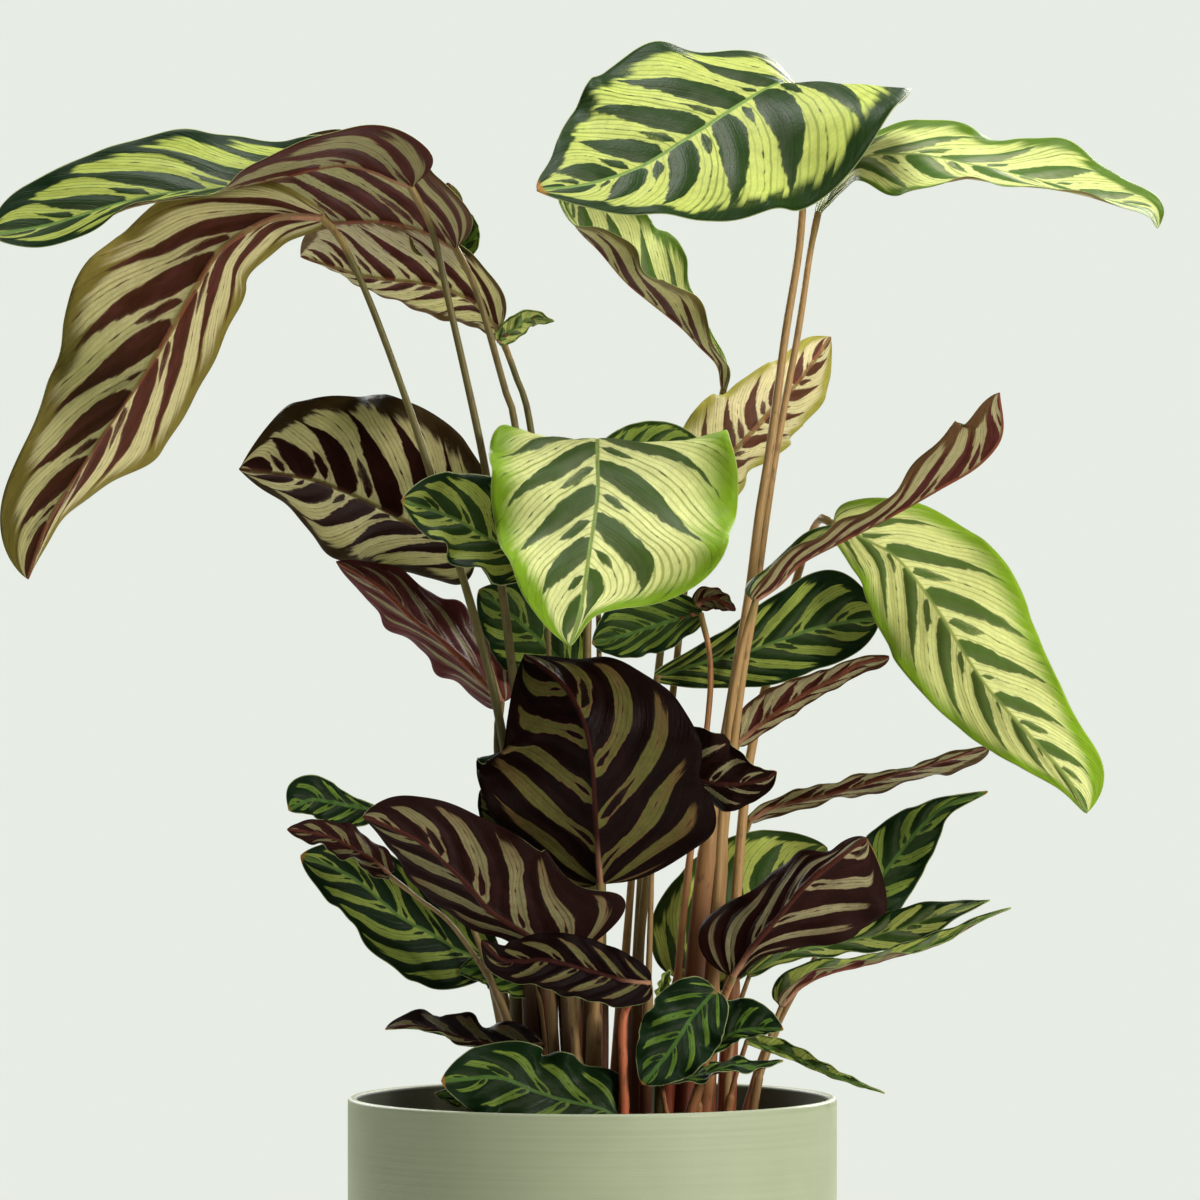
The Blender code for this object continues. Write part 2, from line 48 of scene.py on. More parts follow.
# The pot and the mix, in metres: outer sizes as on the frame
POT_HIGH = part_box("pot")[1]
POT_RADIUS = POT_HIGH.x
POT_HEIGHT = POT_HIGH.z
MIX_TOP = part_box("potting_mix")[1].z
POT_WALL = 0.0036
POT_FLOOR = 0.008
RIM_ROUND = 0.0016
FOOT_ROUND = 0.0030
MIX_GAP = 0.0003
MIX_DIP = 0.0015
MIX_WAVE = 0.0011
CRUMB_RADIUS = 0.0016
CRUMBS_PER_SQUARE_METRE = 60000.0

# Steps round the pot and the mix, rings over the mix and steps along a rounded corner
POT_STEPS = 192
MIX_STEPS = 96
MIX_RINGS = 40
ROUND_STEPS = 8

# Blades, in millimetres
BLADE_THICKNESS = 0.45
RIM_THICKNESS = 0.22
BASE_EDGE = 1.2
TIP_EDGE = 0.15
FOLD_DEPTH = 0.42
SWELL_DEPTH = 0.55
EDGE_WAVE = 0.7
MIDRIB_GROOVE = 0.45
MIDRIB_RIDGE = 0.75
MIDRIB_WIDTH = 1.1

# The outline's powers, and the share of the length where the base lobes end
BASE_ROUNDNESS = 0.50
TIP_SHARPNESS = 0.72
LOBE_ENDS = 0.45

# The face that doesn't show from the front: how pale beside the other, and how dark at most
HIDDEN_PALE = 0.5
HIDDEN_DEEP = 0.3
BLADE_SLOTS = {"upper": "blade_green", "under": "blade_maroon"}

# Side veins: the power that they bend with, their share of the length that they wander by,
# and the thin ones from each large blotch to the next
VEIN_BEND = 1.25
VEIN_WANDER = 0.022
VEINS_PER_BLOTCH = 8.0

# Where marks end, as shares of the half width
BLOTCH_END = 0.80
OVAL_END = 0.16
BAND_END = 0.82

# How wide bands are and how ragged and soft marks are, as shares of the way between blotches
BAND_SIZE = 0.62
RAGGED_BLOTCH = 0.13
RAGGED_BAND = 0.06
BLOTCH_SOFTNESS = 0.016
BAND_SOFTNESS = 0.018

# Stalks, in millimetres, with the joint's girth as a share of the stalk's
STALK_FOOT_RADIUS = 2.3
STALK_TOP_RADIUS = 1.25
STALK_SINK = 3.0
STALK_REACH = 0.6
JOINT_LENGTH = 9.0
JOINT_GIRTH = 1.22

# Numbers of points and sides, and of a blade's rows and columns
FINE_STEPS = 240
STALK_POINTS = 60
STALK_SIDES = 12
LARGE_GRID = (112, 44)
SMALL_GRID = (64, 28)

# The studio: metres, and millimetres for the lens and the sensor
CAMERA_PLACE = (0.003, -2.69, 0.368)
CAMERA_LENS = 207.6
SENSOR_WIDTH = 36.0
FLOOR_RADIUS = 1.4
FLOOR_STEPS = 96
LIGHT_TARGET = (0.0, 0.0, 0.36)


@dataclass
class Leaf:
    """One leaf, in millimetres and degrees, from its base to its tip.

    faces names the face that shows from the front. Left and right are the hands of someone
    who walks from base to tip with that face up.
    spine is the midrib. halves gives the widths of the left and of the right half, at equal
    steps from base to tip, before the outline narrows them to the base and the tip.
    left and right are the leans of the two halves at equal steps: 0 lies flat, more lifts
    the half towards that face, and past 90 it folds over. across is the direction that the
    left half points in, where it can't be told from the spine.
    curl is how far a half bends between midrib and margin. ripple is the margin's swing,
    its number of waves and where they start. lobe is how far the base reaches back, as a
    share of the half width.
    marks is the number of large blotches on a side, phase moves them along, bold is their
    girth and sweep how strongly the side veins slant.
    look is how pale the bands are, how dark the blotches and margin are, how bright the margin
    is and how much painted sheen the blotches carry on the upper face, which on the underside
    sets how wine-red they are, each from 0 to 1. The darkness is partly the leaf's own and
    partly painted shade on the low leaves, and the paleness partly painted light on the leaves
    that the backlight shines through.
    stalk runs from the mix to the blade, and is empty for a frill that grows out of its
    neighbour. tint is the stalk's share of orange and of darkening, partly its own darker skin
    and partly painted shade in the clump, girth makes it thicker, and sheath is the length of
    the sheath at its foot and its girth.
    """

    name: str
    spine: tuple
    halves: tuple
    left: tuple
    right: tuple
    stalk: tuple
    marks: float
    phase: float
    look: tuple
    faces: str = "upper"
    across: tuple = None
    curl: float = 14.0
    ripple: tuple = (10.0, 3.0, 0.0)
    lobe: float = 0.30
    bold: float = 0.27
    sweep: float = 1.3
    tint: tuple = (0.4, 0.2)
    girth: float = 1.0
    sheath: tuple = (64.0, 1.55)


def smooth_path(points, steps=FINE_STEPS):
    """Points on a Catmull-Rom spline through the given points, evenly spaced along it."""
    p = np.array(points, dtype=float)
    if p.ndim == 1:
        p = p[:, None]
    if len(p) == 1:
        return np.full(steps, p[0, 0])
    ends = np.vstack([2 * p[0] - p[1], p, 2 * p[-1] - p[-2]])
    t = np.linspace(0, len(p) - 1 - 1e-9, steps * 2)
    k = t.astype(int)
    f = (t - k)[:, None]
    a, b, c, d = ends[k], ends[k + 1], ends[k + 2], ends[k + 3]
    curve = 0.5 * (2 * b + (c - a) * f + (2 * a - 5 * b + 4 * c - d) * f**2
                   + (3 * b - a - 3 * c + d) * f**3)
    if p.shape[1] == 1:
        return np.interp(np.linspace(0, 1, steps), np.linspace(0, 1, len(curve)), curve[:, 0])
    run = np.concatenate([[0], np.cumsum(np.linalg.norm(np.diff(curve, axis=0), axis=1))])
    even = np.linspace(0, run[-1], steps)
    return np.stack([np.interp(even, run, curve[:, i]) for i in range(3)], axis=1)


def unit(v):
    return v / np.linalg.norm(v, axis=-1, keepdims=True)


def at(fine, u):
    """Read a finely sampled list of values or points at u, from 0 to 1."""
    place = np.linspace(0, 1, len(fine))
    if fine.ndim == 1:
        return np.interp(u, place, fine)
    return np.stack([np.interp(u, place, fine[:, i]) for i in range(fine.shape[1])], axis=-1)


def length_of(path):
    return np.linalg.norm(np.diff(path, axis=0), axis=1).sum()


def across_of(leaf):
    """The direction that the left half points in, before it leans."""
    if leaf.across:
        return unit(np.array(leaf.across, dtype=float))
    run = np.array(leaf.spine[-1], dtype=float) - np.array(leaf.spine[0], dtype=float)
    return unit(np.array([-run[2], 0.0, run[0]]))


def outline(u):
    """Share of the full half width at u: round at the base, pointed at the tip."""
    widest = BASE_ROUNDNESS / (BASE_ROUNDNESS + TIP_SHARPNESS)
    grow = np.clip(u / widest, 0, None) ** BASE_ROUNDNESS
    return grow * np.clip((1 - u) / (1 - widest), 0, None) ** TIP_SHARPNESS


def half_width(leaf, u, v):
    """Distance from the midrib to the margin, in millimetres, on the side that v lies on."""
    full = np.where(v >= 0, *[at(smooth_path(half), u) for half in leaf.halves])
    return full * outline(u) + BASE_EDGE + (TIP_EDGE - BASE_EDGE) * u


def blade_points(leaf, u, v):
    """Points of the smooth blade, in millimetres: u runs from base to tip, v from -1 to 1."""
    spine = smooth_path(leaf.spine)
    middle = at(spine, u)
    along = unit(at(np.gradient(spine, axis=0), u))
    reach = across_of(leaf)
    reach = unit(reach - (along @ reach)[..., None] * along)
    lift = np.cross(along, reach)

    side = np.where(v >= 0, 1.0, -1.0)
    share = outline(u)
    width = half_width(leaf, u, v)
    lean = np.radians(np.where(v >= 0, at(smooth_path(leaf.left), u), at(smooth_path(leaf.right), u)))
    swing, waves, phase = leaf.ripple
    ripple = swing * share * np.sin(2 * pi * (waves * u + phase) + 1.3 * side)
    bend = np.radians(leaf.curl + 2 * ripple)
    bend = np.where(np.abs(bend) < 0.02, 0.02, bend)
    start = lean - radians(leaf.curl) / 2
    far = np.abs(v)
    flat = (np.sin(start + bend * far) - np.sin(start)) / bend
    up = (np.cos(start) - np.cos(start + bend * far)) / bend
    back = leaf.lobe * width * far**2 * np.clip(1 - u / LOBE_ENDS, 0, None) ** 2
    back = np.minimum(back, length_of(spine) * leaf.lobe)
    return (middle + (side * width * flat)[..., None] * reach + (width * up)[..., None] * lift
            - back[..., None] * along)


def vein_slant(leaf):
    """How far a side vein runs towards the tip on its way to the margin, as a share of length."""
    widest = np.mean([np.mean(half) for half in leaf.halves])
    return leaf.sweep * widest / length_of(smooth_path(leaf.spine))


def vein_count(leaf, u, v):
    """Rises by one from each large blotch to the next, and by one half where sides alternate."""
    slanted = u - vein_slant(leaf) * np.abs(v) ** VEIN_BEND
    return leaf.marks * slanted + leaf.phase + np.where(v >= 0, 0.0, 0.5)


def relief(leaf, u, v):
    """Height of the folds above the smooth blade, in millimetres, towards the upper face."""
    far = np.abs(v)
    off = far * half_width(leaf, u, v)
    count = vein_count(leaf, u, v)
    body = outline(u) * np.sin(pi * np.clip(far, 0, 1) ** 0.75) ** 0.8
    folds = FOLD_DEPTH * body * (np.cos(4 * pi * count) - 0.5 * np.cos(2 * pi * count))
    turn = leaf.phase * 6 + leaf.marks
    swell = SWELL_DEPTH * outline(u) * np.sin(9 * u + 2.1 * v + turn) * np.cos(5 * u - 3 * v + 2 * turn)
    wave = np.sin(2 * pi * (leaf.marks + 1.5) * u + 2.4 * np.sign(v) + turn)
    edge = EDGE_WAVE * outline(u) * far**4 * wave
    groove = MIDRIB_GROOVE * np.exp(-((off / MIDRIB_WIDTH) ** 2)) * (1 - u) ** 0.5
    return folds + swell + edge - groove


def normals_of(points):
    """Unit normals of a grid of points, towards the face that shows from the front."""
    down = np.gradient(points, axis=0)
    over = np.gradient(points, axis=1)
    return unit(np.cross(down, over) + 1e-12)


def blade_grid(rows, columns):
    """The places of the blade's rows and columns, closer together at the ends and the midrib."""
    step = np.linspace(0, 1, rows + 1)
    u = 0.5 * step + 0.25 * (1 - np.cos(pi * step))
    step = np.linspace(-1, 1, columns + 1)
    v = np.sign(step) * np.abs(step) ** 1.2
    return np.meshgrid(u, v, indexing="ij")


def blade_skins(leaf, u, v):
    """The upper and lower skins of the blade, in metres."""
    smooth = blade_points(leaf, u, v)
    facing = 1.0 if leaf.faces == "upper" else -1.0
    upper = normals_of(smooth) * facing
    middle = smooth + relief(leaf, u, v)[..., None] * upper
    upper = normals_of(middle) * facing
    off = np.abs(v) * half_width(leaf, u, v)
    rim = np.abs(v) ** 6
    thick = BLADE_THICKNESS + (RIM_THICKNESS - BLADE_THICKNESS) * rim
    ridge = MIDRIB_RIDGE * np.exp(-((off / (0.8 * MIDRIB_WIDTH)) ** 2)) * (1 - 0.8 * u)
    top = middle + (thick / 2)[..., None] * upper
    under = middle - (thick / 2 + ridge)[..., None] * upper
    return top * MM, under * MM


def grid_faces(rows, columns, first, flip):
    """Quads over a grid of points whose numbers begin at first."""
    i, j = np.meshgrid(np.arange(rows), np.arange(columns), indexing="ij")
    a = (first + i * (columns + 1) + j).ravel()
    quads = np.stack([a, a + columns + 1, a + columns + 2, a + 1], axis=1)
    return quads[:, ::-1] if flip else quads


def rim_faces(rows, columns, flip):
    """Quads that close the gap between the two skins all round the margin."""
    wide = columns + 1
    ring = list(range(columns)) + [i * wide + columns for i in range(rows)]
    ring += [rows * wide + j for j in range(columns, 0, -1)] + [i * wide for i in range(rows, 0, -1)]
    a = np.array(ring)
    b = np.roll(a, -1)
    below = (rows + 1) * wide
    quads = np.stack([a, b, b + below, a + below], axis=1)
    return quads[:, ::-1] if flip else quads


def new_piece(name, data, finishes):
    """An object at the origin that shows the data, with its finishes."""
    obj = bpy.data.objects.new(name, data)
    bpy.context.scene.collection.objects.link(obj)
    for finish in finishes:
        data.materials.append(finish)
    return obj


def store(mesh, name, kind, values):
    """Keeps a value for each point of a mesh, which its finish reads."""
    attribute = mesh.attributes.new(name, kind, "POINT")
    field = "value" if kind == "FLOAT" else "vector"
    attribute.data.foreach_set(field, np.ascontiguousarray(values, dtype=np.float32).ravel())


def face_looks(leaf):
    """How pale, dark and bright-edged the upper side is, then the underside.

    The face that doesn't show from the front is duller.
    """
    pale, deep, edge, _ = leaf.look
    if leaf.faces == "upper":
        return [(pale, deep, edge), (pale * HIDDEN_PALE, min(deep, HIDDEN_DEEP), edge)]
    return [(pale * HIDDEN_PALE, deep, edge), (pale, deep, edge)]


def make_blade(leaf, upper_finish, under_finish, rows, columns):
    """One blade: two skins and the rim between them, with what its finishes read."""
    u, v = blade_grid(rows, columns)
    top, under = blade_skins(leaf, u, v)
    points = np.concatenate([top.reshape(-1, 3), under.reshape(-1, 3)])
    flip = leaf.faces != "upper"
    count = (rows + 1) * (columns + 1)
    upper = grid_faces(rows, columns, 0, flip)
    lower = grid_faces(rows, columns, count, not flip)
    rim = rim_faces(rows, columns, flip)
    faces = np.concatenate([upper, lower, rim])

    mesh = bpy.data.meshes.new(leaf.name)
    mesh.from_pydata(points.tolist(), [], faces.tolist())
    slots = np.concatenate([np.zeros(len(upper)), np.ones(len(lower)), np.zeros(len(rim))])
    mesh.polygons.foreach_set("material_index", slots.astype(np.int32))
    mesh.shade_smooth()

    flat = np.stack([u.ravel(), (v.ravel() + 1) / 2], axis=1)
    flat = np.concatenate([flat, flat])
    corners = np.zeros(len(mesh.loops), dtype=np.int32)
    mesh.loops.foreach_get("vertex_index", corners)
    layer = mesh.uv_layers.new(name="leaf")
    layer.uv.foreach_set("vector", flat[corners].astype(np.float32).ravel())

    off = (np.abs(v) * half_width(leaf, u, v)).ravel()
    rim_gap = ((1 - np.abs(v)) * half_width(leaf, u, v)).ravel()
    bold = np.full(count, leaf.bold)
    store(mesh, "span", "FLOAT_VECTOR", np.tile(np.stack([off, rim_gap, bold], axis=1), (2, 1)))
    habit = (leaf.marks, leaf.phase, vein_slant(leaf))
    store(mesh, "habit", "FLOAT_VECTOR", np.tile(habit, (2 * count, 1)))
    store(mesh, "look", "FLOAT_VECTOR", np.repeat(face_looks(leaf), count, axis=0))
    store(mesh, "painted_sheen_and_wine", "FLOAT", np.full(2 * count, leaf.look[3]))
    return new_piece(leaf.name, mesh, [upper_finish, under_finish])


class Value:
    """A socket that can be used in ordinary arithmetic, which adds the nodes that it needs."""

    def __init__(self, graph, socket):
        self.graph = graph
        self.socket = socket

    def __add__(self, other):
        return self.graph.maths("ADD", self, other)

    def __radd__(self, other):
        return self.graph.maths("ADD", other, self)

    def __sub__(self, other):
        return self.graph.maths("SUBTRACT", self, other)

    def __rsub__(self, other):
        return self.graph.maths("SUBTRACT", other, self)

    def __mul__(self, other):
        return self.graph.maths("MULTIPLY", self, other)

    def __rmul__(self, other):
        return self.graph.maths("MULTIPLY", other, self)

    def __truediv__(self, other):
        return self.graph.maths("DIVIDE", self, other)

    def __pow__(self, other):
        return self.graph.maths("POWER", self, other)

    def __abs__(self):
        return self.graph.maths("ABSOLUTE", self)

    def at_most(self, other):
        return self.graph.maths("MINIMUM", self, other)

    def at_least(self, other):
        return self.graph.maths("MAXIMUM", self, other)

    def floor(self):
        return self.graph.maths("FLOOR", self)

    def sine(self):
        return self.graph.maths("SINE", self)


class Graph:
    """Adds nodes to one shader or geometry tree."""

    def __init__(self, tree):
        self.tree = tree

    def node(self, kind, settings=None, values=None, output=0):
        """Adds a node: its settings first, then a number or a link for each socket named."""
        made = self.tree.nodes.new(kind)
        for name, setting in (settings or {}).items():
            setattr(made, name, setting)
        for name, value in (values or {}).items():
            if isinstance(value, Value):
                self.tree.links.new(value.socket, made.inputs[name])
            else:
                made.inputs[name].default_value = value
        return Value(self, made.outputs[output]) if made.outputs else None

    def maths(self, operation, *values):
        return self.node("ShaderNodeMath", {"operation": operation}, dict(enumerate(values)))

    def also(self, value, output):
        """Another output of the node that a value comes from."""
        return Value(self, value.socket.node.outputs[output])

    def ramp(self, value, low, high, start=0.0, end=1.0):
        """Goes smoothly from start to end as value goes from low to high."""
        values = {"Value": value, "From Min": low, "From Max": high, "To Min": start, "To Max": end}
        return self.node("ShaderNodeMapRange", {"interpolation_type": "SMOOTHSTEP"}, values)

    def mix(self, share, first, second):
        """A colour between two colours, which are three numbers or a link."""
        colours = [(*c, 1.0) if isinstance(c, tuple) else c for c in (first, second)]
        return self.node("ShaderNodeMix", {"data_type": "RGBA"},
                         {0: share, 6: colours[0], 7: colours[1]}, output=2)

    def scale(self, colour, amount):
        """A colour made lighter or darker."""
        return self.node("ShaderNodeVectorMath", {"operation": "SCALE"}, {0: colour, 3: amount})

    def noise(self, place, size, detail=2.0, rough=0.5, output=0):
        values = {"Vector": place, "Scale": size, "Detail": detail, "Roughness": rough}
        return self.node("ShaderNodeTexNoise", {}, values, output)

    def stretch(self, place, x, y, z):
        """A place measured with a different scale along each axis."""
        return self.node("ShaderNodeVectorMath", {"operation": "MULTIPLY"}, {0: place, 1: (x, y, z)})

    def joined(self, x, y, z=0.0):
        return self.node("ShaderNodeCombineXYZ", {}, {0: x, 1: y, 2: z})

    def split(self, vector):
        parts = self.node("ShaderNodeSeparateXYZ", {}, {0: vector})
        return parts, self.also(parts, 1), self.also(parts, 2)

    def attribute(self, name, output="Vector"):
        return self.node("ShaderNodeAttribute", {"attribute_name": name}, {}, output)


def new_finish(name):
    """An empty material and the graph of its nodes."""
    finish = bpy.data.materials.new(name)
    finish.use_nodes = True
    finish.node_tree.nodes.clear()
    return finish, Graph(finish.node_tree)


def gloss(graph, colour, roughness, normal, **fixed):
    """A Principled shader: what varies is linked, and fixed names numbers for its other sockets."""
    values = {"Base Color": colour, "Roughness": roughness, "Normal": normal}
    values.update({name.replace("_", " "): number for name, number in fixed.items()})
    return graph.node("ShaderNodeBsdfPrincipled", {}, values)


def set_output(graph, shader):
    graph.node("ShaderNodeOutputMaterial", {}, {"Surface": shader})


def bump(graph, height, strength, distance):
    return graph.node("ShaderNodeBump", {},
                      {"Height": height, "Strength": strength, "Distance": distance})


class Markings:
    """Where the marks of a leaf lie, worked out from its own along and across places."""

    def __init__(self, graph):
        self.graph = graph
        place = graph.node("ShaderNodeUVMap", {"uv_map": "leaf"}, {})
        along, across, _ = graph.split(place)
        signed = across * 2.0 - 1.0
        self.side = graph.ramp(signed, -0.001, 0.001)
        self.far = abs(signed)
        self.along = along
        self.marks, phase, slant = graph.split(graph.attribute("habit"))
        self.off, self.rim, self.bold = graph.split(graph.attribute("span"))
        self.pale, self.deep, self.edge = graph.split(graph.attribute("look"))
        self.painted_sheen_and_wine = graph.attribute("painted_sheen_and_wine", "Fac")

        seat = graph.joined(along * 5.0 + phase * 7.0, signed * 2.2, self.marks)
        wander = graph.noise(seat, 1.6) - 0.5
        slanted = along - slant * self.far ** VEIN_BEND
        self.count = self.marks * (slanted + wander * VEIN_WANDER) + phase + (1.0 - self.side) * 0.5
        self.number = self.count.floor()
        self.place = self.count - self.number - 0.5
        self.fine = self.count * VEINS_PER_BLOTCH
        self.fine_number = self.fine.floor()

    def chance(self, number, seed):
        """A number from 0 to 1 that differs from mark to mark."""
        key = self.graph.joined(number, self.side * 3.0 + seed, self.marks)
        return self.graph.node("ShaderNodeTexWhiteNoise", {"noise_dimensions": "3D"}, {"Vector": key})

    def spindle(self, place, start, end, girth, skew):
        """A mark that begins as a thin neck, swells and tapers: 1 inside and 0 outside."""
        share = ((self.far - start) / (end - start)).at_most(1.0).at_least(0.0)
        swell = (share ** skew * pi).sine()
        rough = self.graph.noise(self.graph.joined(self.count * 3.5, self.far * 6.0, self.side), 2.0)
        return swell * girth - abs(place) + (rough - 0.5) * RAGGED_BLOTCH

    def blotches(self):
        """Large spindles along the side veins, with small ovals by the midrib between them."""
        taper = self.graph.ramp(self.along, 0.62, 1.0, 1.0, 0.62)
        luck = self.chance(self.number, 1.0)
        end = (BLOTCH_END + luck * 0.12) * taper
        girth = self.bold.at_most(0.30) + luck * 0.05
        large = self.spindle(self.place, -0.030, end, girth, 0.52)
        number = (self.count + 0.5).floor()
        between = self.count - number
        luck = self.chance(number, 5.0)
        small = self.spindle(between, 0.03, OVAL_END + luck * 0.22, 0.05 + luck * 0.09, 0.80)
        return self.graph.ramp(large.at_least(small), -BLOTCH_SOFTNESS, BLOTCH_SOFTNESS)

    def bands(self):
        """The pale ground between the blotches, which ends raggedly short of the margin.

        Where the blotches are bold it narrows to tapering bands on a ground of the margin's
        colour.
        """
        luck = self.chance(self.fine_number, 9.0)
        wide = self.graph.ramp(abs(self.place), 0.10, 0.5, -0.05, 0.0)
        reach = BAND_END + luck * 0.10 + wide - self.graph.ramp(self.bold, 0.42, 0.50) * 0.12
        reach = reach - self.edge * 0.05
        shrink = self.graph.ramp(self.along, 0.70, 1.0, 0.0, 0.30)
        soft = self.edge * 0.11 + 0.03
        ends = self.graph.ramp(self.far, reach + soft - shrink, reach - soft - shrink)
        narrow = self.graph.ramp(self.bold, 0.26, 0.50)
        share = (self.far / (0.94 - shrink)).at_most(1.0)
        swell = (share ** 0.66 * pi).sine().at_least(0.0) ** 0.45
        number = (self.count + 0.5).floor()
        size = BAND_SIZE - narrow * (0.50 - self.chance(number, 3.0) * 0.10)
        rough = self.graph.noise(self.graph.joined(self.count * 7.0, self.far * 8.0, self.side), 2.0)
        gap = 0.5 - abs(self.place)
        room = size * (1.0 - narrow * (1.0 - swell)) - gap + (rough - 0.5) * RAGGED_BAND
        return ends * self.graph.ramp(room, -BAND_SOFTNESS, BAND_SOFTNESS)

    def fine_veins(self):
        """Thin lines that run with the side veins."""
        across = abs(self.fine - self.fine_number - 0.5) * 2.0
        weight = self.chance((self.fine + 0.5).floor(), 2.0)
        thin = 0.86 - self.far * 0.30 * weight - self.pale * 0.06
        return self.graph.ramp(across, thin - 0.12, thin + 0.12) * (0.30 + weight * 0.70)

    def ladder(self):
        """A faint net of cross veins between the thin lines."""
        place = self.graph.joined(self.fine * 1.5, self.off * 0.9, self.side)
        cells = self.graph.node("ShaderNodeTexVoronoi", {"feature": "DISTANCE_TO_EDGE"},
                                {"Vector": place, "Scale": 1.0, "Randomness": 0.8})
        return self.graph.ramp(cells, 0.0, 0.22, 1.0, 0.0)

    def midrib(self, width):
        return self.graph.ramp(self.off, width * 1.35, width * 0.65)

    def cloud(self):
        """Soft patches that cross the blotches."""
        return self.graph.noise(self.graph.joined(self.count * 2.0, self.far * 3.0, self.side), 2.0)

    def mottle(self):
        """A broad unevenness of the whole face."""
        place = self.graph.joined(self.along * 9.0, self.far * 4.0, self.side)
        return self.graph.noise(place, 3.0, 4.0)


def leaf_shader(graph, colour, roughness, normal, shine, glow, share):
    """A satin surface that also lets some light through, most where share is high."""
    satin = gloss(graph, colour, roughness, normal, IOR=1.38, Specular_IOR_Level=shine)
    through = graph.node("ShaderNodeBsdfTranslucent", {}, {"Color": (*glow, 1.0)})
    both = graph.node("ShaderNodeMixShader", {}, {0: share, 1: satin, 2: through})
    set_output(graph, both)


def upper_finish():
    """Leaf upper side: cream to lime bands, dark green blotches with a painted grey sheen on one side, and
    a plain green margin.
    """
    finish, graph = new_finish("leaf_upper")
    m = Markings(graph)
    blotch = m.blotches()
    ground = graph.mix(graph.ramp(m.pale, 0.0, 0.5), (0.075, 0.145, 0.016), (0.390, 0.440, 0.090))
    ground = graph.mix(graph.ramp(m.pale, 0.5, 1.0), ground, (0.900, 0.930, 0.440))
    ground = graph.mix(graph.ramp(m.far, 0.45, 0.95) * 0.35, ground, (0.420, 0.520, 0.060))
    line = graph.mix(m.pale, (0.018, 0.055, 0.009), (0.220, 0.300, 0.060))
    ground = graph.mix(m.fine_veins() * 0.85, ground, line)
    ground = graph.mix(m.ladder() * 0.16, ground, line)
    margin = graph.mix(m.edge, (0.009, 0.031, 0.007), (0.195, 0.350, 0.012))
    # Painted shade: the margin of a dark, low leaf is darkened further, as those leaves lie in the clump's
    # shade
    margin = graph.scale(margin, 1.0 - m.deep * 0.5)
    bands = m.bands()
    body = graph.mix(bands, margin, ground)
    dark = graph.mix(m.deep, (0.062, 0.125, 0.020), (0.007, 0.018, 0.005))
    # Painted sheen: one side of each blotch is paled towards grey, as if that side of its fold caught the
    # light
    painted_sheen_grey = graph.mix(m.deep, (0.250, 0.270, 0.150), (0.044, 0.052, 0.032))
    painted_sheen_side = graph.ramp(m.place, -0.06, 0.14) * m.painted_sheen_and_wine * 0.8
    painted_sheen_side = painted_sheen_side * graph.ramp(m.cloud(), 0.30, 0.62, 0.35, 1.0)
    mark = graph.mix(painted_sheen_side, dark, painted_sheen_grey)
    colour = graph.mix(blotch, body, mark)
    rib = graph.mix(m.pale, (0.045, 0.105, 0.018), (0.200, 0.300, 0.075))
    colour = graph.mix(m.midrib(0.75), colour, rib)
    colour = graph.mix(graph.ramp(m.rim, 0.45, 0.15) * 0.5, colour, (0.45, 0.50, 0.20))
    dry = graph.ramp(m.along, 0.976, 0.988) * graph.ramp(m.deep, 0.50, 0.80)
    colour = graph.mix(dry * 0.85, colour, (0.300, 0.120, 0.020))
    mottle = m.mottle()
    colour = graph.scale(colour, graph.ramp(mottle, 0.2, 0.8, 0.86, 1.10))
    height = m.fine_veins() * -0.6 + m.ladder() * 0.25 + blotch * 0.25
    normal = bump(graph, height, 0.45, 0.0003)
    roughness = 0.46 - blotch * 0.08 + graph.ramp(mottle, 0.3, 0.7, -0.04, 0.04)
    share = 0.01 + bands * (1.0 - blotch) * m.pale * 0.32 + m.edge * 0.14
    leaf_shader(graph, colour, roughness, normal, 0.10, (0.84, 0.92, 0.32), share)
    return finish


